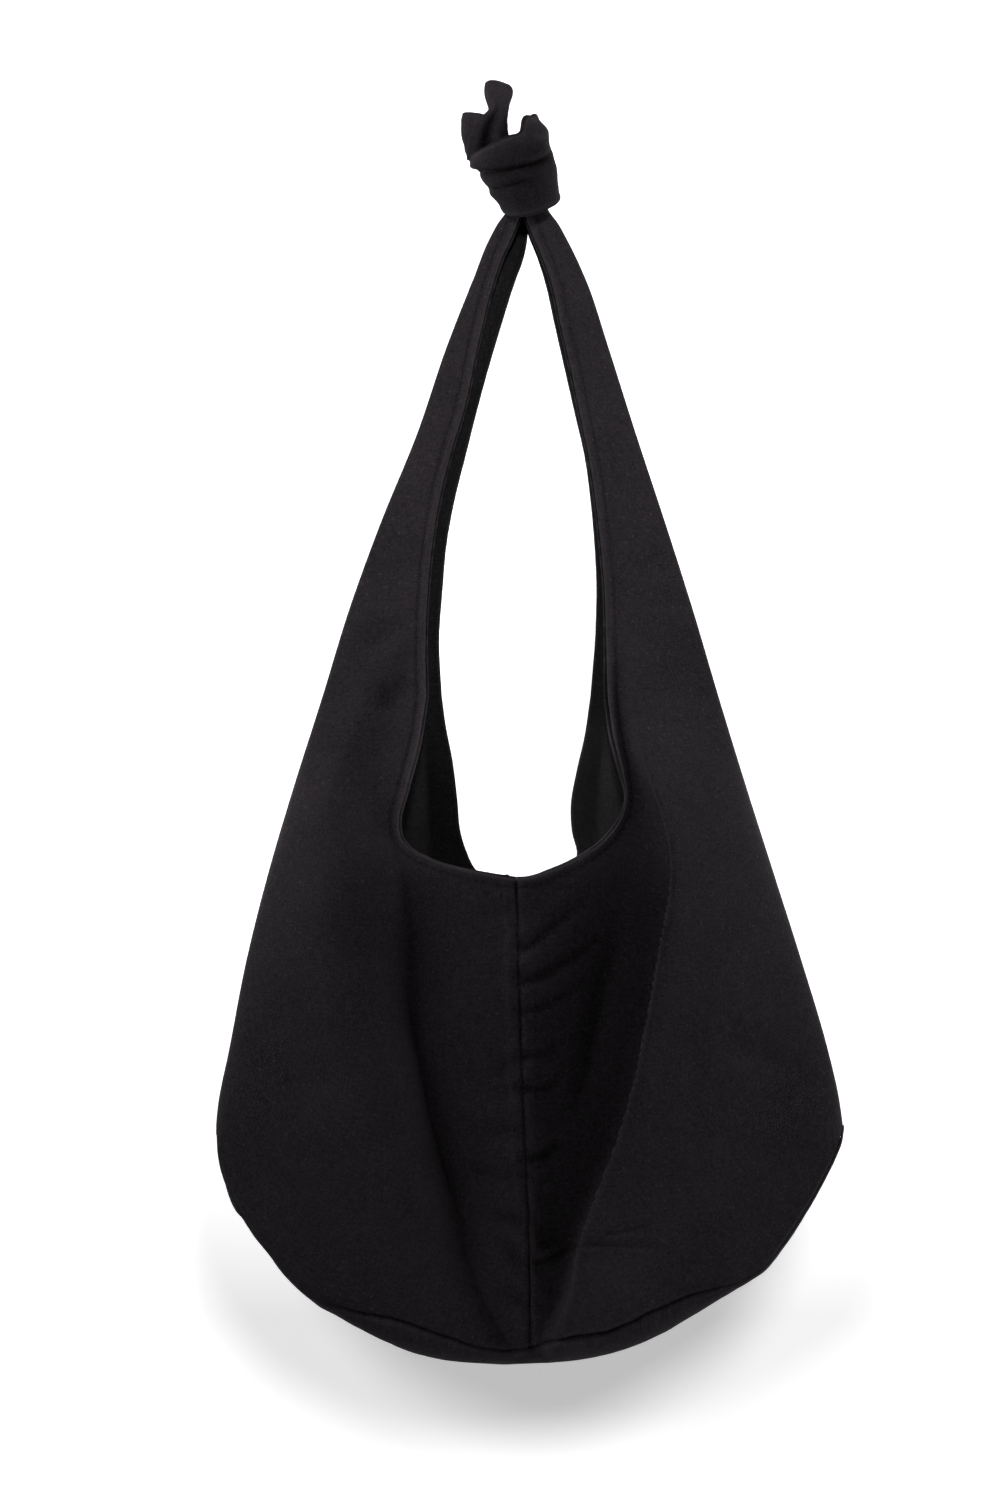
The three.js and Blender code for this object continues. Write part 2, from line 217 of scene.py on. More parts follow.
def near_line(px, py, line):
    """Distance in pixels from points to a polyline, and the share of its length where they are nearest."""
    line = np.array(line, float)
    step = np.diff(line, axis=0)
    start = run_of(line)
    length = np.diff(start)
    best, where = np.full(np.shape(px), 1e9), np.zeros(np.shape(px))
    for k in range(len(step)):
        t = ((px - line[k, 0]) * step[k, 0] + (py - line[k, 1]) * step[k, 1]) / length[k] ** 2
        t = np.clip(t, 0, 1)
        d = np.hypot(px - line[k, 0] - t * step[k, 0], py - line[k, 1] - t * step[k, 1])
        closer = d < best
        best = np.where(closer, d, best)
        where = np.where(closer, (start[k] + t * length[k]) / start[-1], where)
    return best, where


# Mesh making
# Tone of a point, its wear together with painted light and shade: the share kept on a sheet's inside face,
# and the tone at a tube's ends
TONE_INSIDE_SHARE = 0.4
TONE_AT_ENDS = 0.3


def mesh_object(name, points, faces, uv=None, wear=None):
    points = np.asarray(points, float)
    tri = np.array([f for f in faces if len(f) == 3], int).reshape(-1, 3)
    quad = np.array([f for f in faces if len(f) == 4], int).reshape(-1, 4)
    both = np.concatenate([tri, quad[:, [0, 1, 2]], quad[:, [0, 2, 3]]])
    a, b, c = points[both[:, 0]], points[both[:, 1]], points[both[:, 2]]
    if np.einsum("ij,ij->", a, np.cross(b, c)) < 0:
        faces = [tuple(reversed(f)) for f in faces]
    mesh = bpy.data.meshes.new(name)
    mesh.from_pydata((points * METRE).tolist(), [], faces)
    mesh.polygons.foreach_set("use_smooth", np.ones(len(faces), bool))
    if uv is not None:
        corner = np.zeros(len(mesh.loops), np.int32)
        mesh.loops.foreach_get("vertex_index", corner)
        layer = mesh.uv_layers.new(name="cloth")
        layer.data.foreach_set("uv", (np.asarray(uv, float)[corner] * METRE).astype(np.float32).ravel())
    if wear is not None:
        # Per-point tone for the cloth material: edge wear together with painted light and shade
        layer = mesh.attributes.new("wear", "FLOAT", "POINT")
        layer.data.foreach_set("value", np.asarray(wear, np.float32))
    mesh.update()
    obj = bpy.data.objects.new(name, mesh)
    bpy.context.scene.collection.objects.link(obj)
    return obj


def grid_quads(rows, cols, closed):
    """The quads of a grid of points, which go round to its first column again when it is closed."""
    r, c = np.meshgrid(np.arange(rows - 1), np.arange(cols if closed else cols - 1), indexing="ij")
    n = (c + 1) % cols
    quads = np.stack([r * cols + c, (r + 1) * cols + c, (r + 1) * cols + n, r * cols + n], -1)
    return quads.reshape(-1, 4).tolist()


def half_ring(start, end, bulge, steps):
    """Points round half a circle from one line of points to another, on the side of bulge."""
    centre, radius = (start + end) / 2, np.linalg.norm(start - end, axis=-1, keepdims=True) / 2
    angles = math.pi * np.arange(1, steps + 1) / (steps + 1)
    ring = [centre + (start - centre) * math.cos(a) + bulge * radius * math.sin(a) for a in angles]
    return np.stack(ring, axis=1)


def sheet_object(name, outer, inner, uv, wear, rounding=3):
    """A closed sheet between two grids of points, with rounded edges along its first and last columns."""
    rows, cols = outer.shape[:2]

    def cap(col, step):
        reach = unit((outer[:, col] + inner[:, col]) / 2 - (outer[:, step] + inner[:, step]) / 2)
        return half_ring(outer[:, col], inner[:, col], reach, rounding)

    def wrapped(outside, inside):
        """Values for the points of both faces and both edges."""
        last, first = np.repeat(outside[:, -1:], rounding, 1), np.repeat(outside[:, :1], rounding, 1)
        return np.concatenate([outside, last, inside[:, ::-1], first], axis=1)

    grid = np.concatenate([outer, cap(-1, -2), inner[:, ::-1], cap(0, 1)[:, ::-1]], axis=1)
    around = grid.shape[1]
    back = 2 * cols + rounding - 1
    faces = grid_quads(rows, around, closed=True)
    for row, turn in ((0, 1), (rows - 1, -1)):
        ring = list(range(row * around, (row + 1) * around)) * 2
        for k in range(cols - 1):
            faces.append([ring[k], ring[k + 1], ring[back - 1 - k], ring[back - k]][::turn])
        for start in (cols - 1, back):
            faces.append(ring[start:start + rounding + 2][::turn])
    uv, wear = wrapped(uv, uv), wrapped(wear, wear * TONE_INSIDE_SHARE)
    return mesh_object(name, grid.reshape(-1, 3), [tuple(f) for f in faces], uv.reshape(-1, 2), wear.ravel())


def tube_object(name, rings, wear=None):
    """A closed solid through rings of points, with a fan at each end."""
    rings = np.asarray(rings, float)
    count, sides = rings.shape[:2]
    faces = grid_quads(count, sides, closed=True)
    low, high = count * sides, count * sides + 1
    for k in range(sides):
        m = (k + 1) % sides
        faces.append([low, k, m])
        faces.append([high, (count - 1) * sides + m, (count - 1) * sides + k])
    points = np.concatenate([rings.reshape(-1, 3), [rings[0].mean(0), rings[-1].mean(0)]])
    along = run_of(rings.mean(1))
    around = np.linalg.norm(np.roll(rings, -1, axis=1) - rings, axis=-1).mean(0)
    around = np.concatenate([[0], np.cumsum(around)[:-1]])
    uv = np.stack(np.meshgrid(around, along), -1).reshape(-1, 2)
    uv = np.concatenate([uv, [[0, along[0]], [0, along[-1]]]])
    wear = np.zeros(count * sides) if wear is None else np.asarray(wear).ravel()
    wear = np.concatenate([wear, [TONE_AT_ENDS, TONE_AT_ENDS]])
    return mesh_object(name, points, [tuple(f) for f in faces], uv, wear)


# Edges and folds of the bag, by pixels
THROAT_PY, CREASE_PY, MOUTH_FOLD_PY = 203.0, 696.0, 893.0
# Each side has its outline, then its front fold: a crest, the valley between it and the centre, and the
# cloth tucked in behind the crest. Heights and depths are in millimetres.
SIDES = {
    "left": {
        "sign": -1,
        "outer": by_row([
            (513, 203), (507, 213), (500, 222), (492, 236), (474, 280), (448, 346), (418, 434), (382, 522),
            (350, 610), (323, 698), (295, 786), (269, 874), (247, 962), (230, 1050), (219, 1105),
            (216.5, 1130)]),
        "strap_front": by_row([
            (521, 203), (519, 213), (514, 228), (499, 262), (490, 290), (477, 342), (465, 400), (447, 462),
            (436, 510), (429, 560), (425, 610), (424, 650), (425, 696)]),
        "strap_back": by_row([
            (524.6, 203), (524.5, 213), (524, 236), (520, 258), (512, 280), (498, 324), (485, 368),
            (473, 412), (462, 456), (451, 500), (443, 544), (439, 588), (435.5, 640), (438, 696)]),
        "rim": curve([
            (425, 696), (418, 740), (405, 790), (397.5, 822), (400, 838), (408, 848), (422, 856),
            (445, 865), (470, 871), (495, 876), (515.5, 879.5)]),
        "back_rim": curve([
            (438, 696), (442, 725), (449, 760), (454, 800), (457, 832), (463, 852), (471, 869), (485, 882),
            (505, 889), (521, 890)]),
        "corner": (217, 1128),
        "bottom": curve([
            (529.5, 1349), (505, 1352), (480, 1349), (450, 1340), (400, 1323), (340, 1309), (310, 1296),
            (284, 1271), (266, 1249), (250, 1227), (236, 1204), (225, 1180), (219.5, 1158), (217, 1128)]),
        "crest": by_row([
            (396, 640), (366, 700), (341, 750), (325, 800), (316, 850), (314, 900), (318, 950), (334, 1000),
            (362, 1050), (383, 1100), (394, 1150), (404, 1200), (414, 1250), (432, 1300), (470, 1345),
            (490, 1370)]),
        "crest_height": by_row([
            (0, 640), (5, 700), (9, 770), (13, 850), (16, 940), (19, 1040), (20, 1120), (18.5, 1200),
            (14, 1260), (8, 1310), (5, 1345), (4, 1370)]),
        "valley": by_row([
            (412, 640), (398, 700), (376, 750), (366, 800), (383, 835), (397, 860), (404, 890), (408, 920),
            (409, 945), (408, 975), (411, 1010), (419, 1051), (428, 1100), (440, 1150), (455, 1200),
            (468, 1250), (486, 1300), (512, 1345), (526, 1370)]),
        "valley_depth": by_row([
            (0, 640), (3, 700), (5, 780), (12, 850), (17, 900), (18, 930), (16, 1000), (13, 1100),
            (11, 1200), (8, 1250), (4, 1300), (1, 1345), (0, 1370)]),
        "round_valley": by_row([(1, 640), (1, 800), (0.5, 850), (0, 900), (0, 1370)]),
        "fall": lambda wall: np.power(np.minimum(wall, 1), 1.9),
        "crest_soft": 20.0,
        "valley_soft": 2.0,
        "centre_reach": by_row([
            (30, 640), (50, 720), (80, 800), (108, 900), (106, 1000), (90, 1100), (54, 1200), (30, 1300),
            (16, 1370)]),
        "centre_power": 1.1,
        "tuck": always(0),
    },
    "right": {
        "sign": 1,
        "outer": by_row([
            (544, 203), (549, 213), (556, 222), (564, 236), (585, 280), (607, 346), (635, 434), (664, 522),
            (692, 610), (718, 698), (745, 786), (773, 874), (801, 962), (827, 1050), (838, 1098),
            (842.5, 1130)]),
        "strap_front": by_row([
            (525.8, 203), (526.5, 213), (532, 230), (544, 258), (552, 280), (562, 324), (572, 368),
            (581, 412), (590, 456), (597, 500), (602, 544), (606, 588), (607.5, 640), (609.5, 696)]),
        "strap_back": by_row([
            (525.4, 203), (525.5, 213), (530, 230), (541, 258), (548, 280), (558, 324), (568, 368),
            (578, 412), (588, 456), (594, 500), (598, 544), (600, 588), (599, 632), (594, 696)]),
        "rim": curve([
            (609.5, 696), (614, 735), (621, 772), (624, 800), (619, 820), (606, 839), (580, 858),
            (548, 872.5), (530, 878), (516.5, 879.5)]),
        "back_rim": curve([
            (594, 696), (588, 735), (580, 770), (574, 805), (575, 830), (580, 856), (572, 874), (552, 886),
            (521, 890)]),
        "corner": (843, 1128),
        "bottom": curve([
            (530.5, 1349), (560, 1341), (600, 1334), (650, 1315), (700, 1295), (745, 1281), (766, 1267),
            (783, 1247), (798, 1225), (811, 1203), (823, 1181), (834, 1159), (841, 1141), (843, 1128)]),
        "crest": by_row([
            (628, 640), (633, 700), (642, 750), (650, 780), (661, 812), (668, 840), (671, 868), (669, 895),
            (663, 926), (656, 965), (649, 1005), (641, 1045), (630, 1095), (613, 1150), (594, 1200),
            (577, 1250), (568, 1300), (552, 1345), (544, 1370)]),
        "crest_height": by_row([
            (0, 640), (5, 700), (11, 762), (17, 830), (22, 900), (25, 970), (27, 1060), (27, 1160),
            (25.5, 1240), (22, 1300), (14, 1350), (10, 1370)]),
        "valley": by_row([
            (612, 640), (616, 700), (624, 750), (631, 780), (642, 812), (650, 840), (653, 868), (652, 895),
            (647, 926), (640, 965), (633, 1005), (625, 1045), (614, 1095), (597, 1150), (578, 1200),
            (562, 1250), (553, 1300), (540, 1345), (534, 1370)]),
        "valley_depth": by_row([
            (0, 640), (6, 700), (12, 790), (16, 860), (18, 920), (17, 1000), (15, 1100), (14, 1200),
            (13, 1250), (10, 1300), (5, 1345), (3, 1370)]),
        "round_valley": always(0),
        "fall": lambda wall: 1 - np.exp(-2 * wall),
        "crest_soft": 2.0,
        "valley_soft": 5.0,
        "centre_reach": by_row([
            (8, 640), (10, 720), (24, 800), (80, 850), (134, 905), (122, 950), (112, 1000), (100, 1050),
            (88, 1100), (70, 1150), (49, 1200), (32, 1250), (23, 1300), (10, 1370)]),
        "centre_power": 1.0,
        "tuck": by_row([
            (0, 640), (0, 730), (4, 770), (11, 810), (16, 860), (16, 1200), (12, 1260), (5, 1310),
            (0, 1345), (0, 1370)]),
    },
}
BASE_OUTLINE = by_column([
    (216, 1128), (226, 1182), (251, 1226), (285, 1270), (318, 1304), (334, 1313), (376, 1336), (434, 1357),
    (480, 1362.5), (520, 1363.5), (560, 1361), (584, 1358), (655, 1336), (693, 1314), (728, 1293),
    (763, 1270), (797, 1226), (822, 1182), (843, 1128)])
SEAM_FRONT = curve([
    (516, 879.5), (517.5, 920), (518.5, 960), (522, 1070), (525, 1140), (529, 1230), (530, 1300),
    (530, 1349)])
SEAM_BACK = curve([(521, 890), (522, 1000), (526, 1150), (530, 1300), (530, 1349)])

# Depths in millimetres at the throat (0), crease (1), mouth (2) and base (3). The front is negative.
FOLD_Y = through([0, 1, 2, 3], [0, 0, -8, -18])
FRONT_Y = through(
    [0, 0.12, 0.4, 0.85, 1.0, 1.2, 1.5, 1.75, 2.0, 2.25, 2.6, 3.0],
    [-6, -4.4, -3.0, -3.2, -5, -11, -25, -34, -39, -36, -35, -47])
BACK_Y = through(
    [0, 0.12, 0.4, 0.85, 1.0, 1.3, 1.6, 2.0, 2.5, 3.0],
    [6, 4.4, 3.0, 3.0, 4.5, 9, 12, 13, 12.5, 9])
SECTION = through([0, 0.8, 1.2, 2.0, 3.0], [3.0, 5.0, 4.4, 2.5, 2.4])

# Sunken wrinkles of the front: a line in pixels, a depth in millimetres and a width in pixels.
# A wrinkle starts deep, runs out at its last point and has a low lip on both sides.
WRINKLE_TAPER, WRINKLE_START = 0.4, 0.02
WRINKLE_LIP, WRINKLE_LIP_OFF = 0.45, 1.7
LONG_CREASE = [(570, 1120), (580, 1085), (588, 1050), (594, 1015), (601, 982), (609, 948), (618, 905)]
WRINKLES = [
    ([(521, 982), (548, 968), (575, 952), (600, 934)], 3.8, 7),
    ([(522, 948), (545, 930), (566, 912), (585, 902)], 3.2, 7),
    ([(521, 1012), (545, 1003), (568, 990), (590, 974)], 2.2, 6),
    ([(524, 1056), (545, 1052), (562, 1040)], 2.0, 6),
    ([(524, 1090), (545, 1086), (566, 1070)], 2.2, 6),
    ([(526, 1160), (545, 1150), (560, 1136)], 2.6, 7),
    ([(526, 1178), (542, 1176), (556, 1164)], 1.0, 5),
    ([(517, 974), (500, 972), (484, 964)], 1.2, 6),
    ([(517, 962), (502, 958), (488, 961)], 0.5, 4),
    ([(519, 1010), (503, 1007), (488, 1012)], 0.4, 4),
    ([(520, 1062), (500, 1072), (478, 1074)], 1.4, 8),
    ([(523, 1086), (502, 1090), (480, 1084)], 1.3, 7),
    ([(524, 1132), (500, 1130), (472, 1136)], 2.0, 9),
    ([(524, 1176), (500, 1172), (470, 1166)], 1.8, 9),
    ([(527, 1222), (505, 1216), (484, 1202)], 2.2, 9),
    ([(528, 1262), (514, 1252), (500, 1236)], 2.4, 9),
    ([(529, 1300), (516, 1296), (500, 1284)], 1.6, 8),
    ([(514, 905), (495, 915), (470, 918)], 0.6, 9),
    ([(530, 1262), (560, 1250), (596, 1244), (640, 1246), (664, 1250)], 1.4, 4),
    ([(606, 1234), (630, 1230), (652, 1220)], 1.2, 4),
    ([(385, 704), (394, 690), (404, 676)], 1.6, 12),
    ([(372, 640), (384, 634), (396, 622)], 1.4, 12),
    ([(300, 700), (330, 690), (360, 700)], 0.8, 16),
    ([(662, 598), (676, 604), (690, 606)], 0.8, 10),
    ([(640, 566), (655, 560), (668, 566)], 0.7, 10),
    ([(735, 1040), (770, 1058), (806, 1064)], 1.0, 16),
    ([(250, 1050), (290, 1080), (330, 1090)], 0.8, 18),
]
# Creases down the inside of the back, beside the mouth
INSIDE_CREASES = {
    "left": [(426, 720), (428, 760), (430, 800), (431, 852), (432, 900)],
    "right": [(606, 704), (601, 740), (596, 785), (595, 828), (594, 880)],
}
LONG_CREASE_DEPTH, LONG_CREASE_WIDTH = 4.4, 9.0
INSIDE_CREASE_DEPTH, INSIDE_CREASE_WIDTH = 5.5, 14.0

# Ripples of the cloth: height, size, seed and maybe a stretch
FRONT_RIPPLES = [(1.1, 95, 1), (0.55, 42, 2, 1, 0.6, 1), (0.22, 17, 3)]
BACK_RIPPLES = [(1.0, 90, 4), (0.5, 44, 5, 1, 0.5, 1), (0.2, 18, 6)]
BACK_RIPPLES_AT = 50.0
DRAPE_HEIGHT, DRAPE_WAVE_PX, DRAPE_SWAY = 1.8, 41.0, (1.2, 160, 7)
BASE_SEAM_PUCKER = [(1.3, 14, 51), (1.6, 45, 52)]
BASE_RIPPLES = [(0.9, 40, 21), (0.45, 15, 22)]
BASE_EDGE_PUCKER = [(0.3, 9, 23)]
HEM_PUCKER = [(0.35, 7.5, 11)]
SEAM_PUCKER = [(0.32, 8.5, 12, 0.6, 1, 1)]

# Tone of the cloth, where 1 is the step from its dark to its light colour: along the hem, edge wear and a
# painted highlight on its roll;
# along the stitch line, painted shade in its groove; beside the front seam, lighter; in the front seam,
# painted shade in its ditch; and how much of the hem's tone is left along the straps
HEM_WEAR_AND_HIGHLIGHT, STITCH_GROOVE_SHADE, SEAM_SIDE_TONE, SEAM_DITCH_SHADE = 1.7, -0.5, 0.3, -0.9
STRAP_HEM_SHOWS = 0.35
# Of creases, painted shade in them, by their depth in millimetres and at most, and of the long crease with
# its reach in pixels
CREASE_SHADE, CREASE_DARKEST, CREASE_TONE_WIDTH = 0.17, 0.4, 0.7
LONG_CREASE_SHADE, LONG_CREASE_REACH = 0.4, 10.0
# Of patches of the front, painted light and shade of its folds, with their middle and reach in pixels
PAINTED_PATCHES = [
    ((610, 1272), 60.0, 0.4), ((554, 1238), 24.0, -0.4),
    ((384, 694), 15.0, -0.3), ((354, 756), 32.0, -0.15), ((390, 935), 28.0, -0.2),
]
# Painted light and shade of the lining: behind its crease, between the crease and the rim, in the crease and
# in the straps
INSIDE_TONE = {"left": (-0.8, 0.5), "right": (1.8, 1.3)}
INSIDE_CREASE_TONE, STRAP_LINING_TONE = -0.9, -1.5
INSIDE_STEP_PX = 4.0
# Of the lining's edge, a painted highlight, and just inside it, a line of painted shade
LINING_EDGE_TONE, LINING_INNER_TONE = 2.2, -0.8

STRAP_ROWS, RIM_ROWS, SEAM_ROWS = 110 // FINE, 92 // FINE, 160 // FINE
FRONT_COLUMNS, BACK_COLUMNS = 120 // FINE, 52 // FINE


def denser_ends(count, amount):
    """Shares from 0 to 1 that lie closer together at both ends."""
    k = np.linspace(0, 1, count + 1)
    return k - amount * np.sin(2 * math.pi * k) / (2 * math.pi)


ROWS = np.concatenate([
    np.linspace(0, 1, STRAP_ROWS + 1)[:-1],
    2 - np.power(np.linspace(1, 0, RIM_ROWS + 1)[:-1], 1.5),
    2 + denser_ends(SEAM_ROWS, 0.5)])


def shares(count):
    """Shares from 0 to 1, a little closer together at both ends."""
    k = np.linspace(0, 1, count + 1)
    return 0.55 * k + 0.45 * (1 - np.cos(math.pi * k)) / 2


def edge_pixels(side, t, back):
    """The petal's free edge, then its seam, as pixels."""
    strap = side["strap_back" if back else "strap_front"]
    rim = side["back_rim" if back else "rim"]
    seam = SEAM_BACK if back else SEAM_FRONT
    py = lerp(THROAT_PY, CREASE_PY, np.clip(t, 0, 1))
    found = np.stack([strap(py), py], -1)
    found = np.where((t > 1)[..., None], rim(np.clip(t - 1, 0, 1)), found)
    return np.where((t > 2)[..., None], seam(np.clip(t - 2, 0, 1)), found)


def fold_pixels(side, t):
    """The petal's side fold, as pixels."""
    py = np.interp(t, [0, 1, 2, 3], [THROAT_PY, CREASE_PY, MOUTH_FOLD_PY, side["corner"][1]])
    return np.stack([side["outer"](py), py], -1)


def bottom_pixels(side, s):
    """The base seam, puckered a little by its stitches."""
    p = side["bottom"](s)
    pucker = ripples(np.stack([p[:, 0], 0 * s, 0 * s], -1), BASE_SEAM_PUCKER)
    return p + np.stack([0 * s, pucker * smoothstep(1 - s, 0.05, 0.3)], -1)


def half_grid(side, back):
    """One half of a petal's middle surface, from its free edge to the side fold."""
    s = shares(BACK_COLUMNS if back else FRONT_COLUMNS)[None, :]
    t = ROWS[:, None]
    edge, fold = edge_pixels(side, ROWS, back)[:, None], fold_pixels(side, ROWS)[:, None]
    px = lerp(edge[..., 0], fold[..., 0], s)
    py = lerp(edge[..., 1], fold[..., 1], s)
    bottom = bottom_pixels(side, s[0])
    foot = np.clip(t - 2, 0, 1) ** 2
    end = edge_pixels(side, np.array([3.0]), back)[0]
    corner = np.array(side["corner"], float)
    px = px + foot * (bottom[None, :, 0] - lerp(end[0], corner[0], s))
    py = py + foot * (bottom[None, :, 1] - lerp(end[1], corner[1], s))
    depth = profile(s, SECTION(ROWS)[:, None])
    y = lerp(FOLD_Y(ROWS)[:, None], (BACK_Y if back else FRONT_Y)(ROWS)[:, None], depth)
    if back:
        y = y + back_folds(px, py, s, t)
    else:
        y = y - front_folds(side, px, py, s, t)
        px = px + side["sign"] * tucked(side, px, py)
    return place(px, py, y)


def tucked(side, px, py):
    """How far the cloth just inside a fold's crest lies hidden behind it, in pixels."""
    share = np.maximum(side["sign"] * (side["crest"](py) - px), 0) / TUCK_REACH_PX
    return side["tuck"](py) * share * np.exp(1 - share)


def loose(s, t):
    """How freely the cloth ripples: not at the throat, nor at the side fold."""
    return smoothstep(t, 0.0, 1.4) * (1 - s ** 6)


def wrinkle_share(along):
    return np.clip(1 - along, 0, 1) ** WRINKLE_TAPER


def front_folds(side, px, py, s, t):
    """How far the front swells: a fold beside the centre, the valley next to it, and wrinkles."""
    crest, valley = side["crest"](py), side["valley"](py)
    height, depth = side["crest_height"](py), side["valley_depth"](py)
    side_fold = side["outer"](np.clip(py, THROAT_PY, side["corner"][1]))
    flank = np.maximum(np.abs(side_fold - crest), LEAST_FLANK_PX)
    outward = side["sign"] * (px - crest)
    soft = side["crest_soft"]
    wall = rounded_ramp(-outward, soft) / np.maximum(np.abs(crest - valley), LEAST_WALL_PX)
    fall = lerp(side["fall"](wall), smoothstep(wall, 0, 1.3), side["round_valley"](py))
    past = rounded_ramp(side["sign"] * (valley - px), side["valley_soft"])
    centre = np.minimum(past / side["centre_reach"](py), 1)
    swell = height * (1 - np.minimum(rounded_ramp(outward, soft) / flank, 1))
    swell = swell - (height + depth) * fall + depth * (1 - np.power(1 - centre, side["centre_power"]))
    total = swell * (1 - s ** 3)
    for line, deep, wide in WRINKLES:
        off, along = near_line(px, py, line)
        sunk = bell(off, wide) * smoothstep(s, 0.0, WRINKLE_START)
        lip = WRINKLE_LIP * bell(off - WRINKLE_LIP_OFF * wide, wide)
        total = total + deep * (lip - sunk) * wrinkle_share(along)
    off, along = near_line(px, py, LONG_CREASE)
    total = total - LONG_CREASE_DEPTH * groove(off, LONG_CREASE_WIDTH, 1.5) * hump(along)
    return total + loose(s, t) * ripples(np.stack([px, py, 0 * px], -1), FRONT_RIPPLES)


def back_folds(px, py, s, t):
    """The back hangs nearly flat, with creases that run down from the mouth."""
    total = 0 * px
    for line in INSIDE_CREASES.values():
        off, along = near_line(px, py, line)
        total = total + INSIDE_CREASE_DEPTH * groove(off, INSIDE_CREASE_WIDTH, 1.2) * hump(along, 0.03)
    p = np.stack([px, py, BACK_RIPPLES_AT + 0 * px], -1)
    drape = DRAPE_HEIGHT * np.sin((px - ORIGIN_PX[0]) / DRAPE_WAVE_PX + ripples(p, [DRAPE_SWAY]))
    drape = drape * smoothstep(t, 2.0, 2.5) * (1 - smoothstep(t, 2.7, 3))
    return total + loose(s, t) * (drape + ripples(p, BACK_RIPPLES))


def edge_line(side, back, t):
    """The free edge and the seam as points, before the folds move them."""
    pix = edge_pixels(side, t, back)
    return place(pix[:, 0], pix[:, 1], (BACK_Y if back else FRONT_Y)(t))


def near_points(p, line):
    """Distance from a grid of points to a line's points, seen from the front, and which one is nearest."""
    flat = p.reshape(-1, 3)[:, [0, 2]]
    spots = line[:, [0, 2]]
    best, which = np.zeros(len(flat)), np.zeros(len(flat), int)
    batch = 4000
    for k in range(0, len(flat), batch):
        gap = ((flat[k:k + batch, None] - spots[None]) ** 2).sum(-1)
        which[k:k + batch] = gap.argmin(1)
        best[k:k + batch] = np.sqrt(gap.min(1))
    return best.reshape(p.shape[:2]), which.reshape(p.shape[:2])


def inward(line):
    """Directions in the picture plane, across a line of points that runs down, to its right."""
    way = unit(np.gradient(line[:, [0, 2]], axis=0))
    return np.stack([-way[:, 1], 0 * way[:, 0], way[:, 0]], -1)


def petal_surface(side):
    """A petal's middle surface from its front edge round the side fold to its back edge, with its normals,
    its distance from the free edges and from the seams, and its cloth coordinates."""
    front, back = half_grid(side, False), half_grid(side, True)
    p = np.concatenate([front, back[:, ::-1][:, 1:]], axis=1)
    n = grid_normals(p) * side["sign"]
    free, seam, out = np.full(p.shape[:2], 1e9), np.full(p.shape[:2], 1e9), np.zeros(p.shape)
    split = front.shape[1]
    t = np.linspace(0, 3, 900)
    for is_back, columns in ((False, slice(0, split)), (True, slice(split, None))):
        line = edge_line(side, is_back, t)
        free[:, columns], which = near_points(p[:, columns], line[t <= 2.0])
        out[:, columns] = -side["sign"] * inward(line)[which]
        seam[:, columns] = near_points(p[:, columns], line[t >= 2.0])[0]
    seam = np.where(ROWS[:, None] < 1.6, 1e9, seam)
    across = run_of(p.swapaxes(0, 1)).T
    across = across - across[:, split - 1:split]
    along = run_of(p[:, split - 1])
    uv = np.stack([across, np.repeat(along[:, None], p.shape[1], 1)], -1)
    return {"p": p, "n": n, "free": free, "seam": seam, "out": out, "uv": uv, "split": split}


def inside_tone(name, sign, p, t):
    """How much lighter or darker than its average the lining is: painted light and shade inside the mouth and
    on the straps, with a step and painted shade at its crease.
    """
    px, py = pixel(p)
    rimward = sign * (px - by_row(INSIDE_CREASES[name])(py))
    behind, beside = INSIDE_TONE[name]
    tone = lerp(behind, beside, smoothstep(rimward, -INSIDE_STEP_PX, INSIDE_STEP_PX))
    tone = (tone + INSIDE_CREASE_TONE * bell(rimward, INSIDE_STEP_PX)) * (1 - smoothstep(t, 2.0, 2.3))
    return lerp(STRAP_LINING_TONE, tone, smoothstep(t, 1.0, 1.25))


def painted_front_shading(p):
    """Painted light and shade of the front: lighter or darker than its average in its patches, and darker in
    its creases.
    """
    px, py = pixel(p)
    tone = 0 * px
    for (x, y), reach, strength in PAINTED_PATCHES:
        tone = tone + strength * bell(np.hypot(px - x, py - y), reach)
    for line, deep, wide in WRINKLES:
        off, along = near_line(px, py, line)
        dark = min(CREASE_SHADE * deep, CREASE_DARKEST)
        tone = tone - dark * bell(off, CREASE_TONE_WIDTH * wide) * wrinkle_share(along)
    off, along = near_line(px, py, LONG_CREASE)
    return tone - LONG_CREASE_SHADE * bell(off, LONG_CREASE_REACH) * hump(along)


def base_shows(x):
    """1 in the middle of the base, where its seam is seen, and nought towards the corners."""
    return 1 - smoothstep(np.abs(x), *BASE_SHOWS)


def canvas_tone(surf):
    """How much lighter or darker than its average a petal's canvas is: edge wear and painted light and shade.
    """
    p, free, seam, t = surf["p"], surf["free"], surf["seam"], ROWS[:, None]
    # Edge wear and a painted highlight along the rolled hem, and painted shade in the stitch groove
    tone = HEM_WEAR_AND_HIGHLIGHT * np.exp(-free / 1.2) + STITCH_GROOVE_SHADE * bell(free - STITCH_INSET, 0.9)
    tone = tone * lerp(STRAP_HEM_SHOWS, 1.0, smoothstep(t, 0.75, 1.25))
    # Lighter beside the front seam, and painted shade in its ditch
    tone = tone + SEAM_SIDE_TONE * np.exp(-seam / 3.0) + SEAM_DITCH_SHADE * bell(seam, 1.0)
    # Painted shade along the petal's foot, in the base seam
    tone = tone - smoothstep(t, 2.992, 2.998) * base_shows(p[..., 0])
    return tone + painted_front_shading(p) * (np.arange(p.shape[1]) < surf["split"])


def every_second(count, *also):
    """Every second index, the last one, and some others."""
    return np.unique(np.concatenate([np.arange(0, count, 2), [count - 1, *also]]))


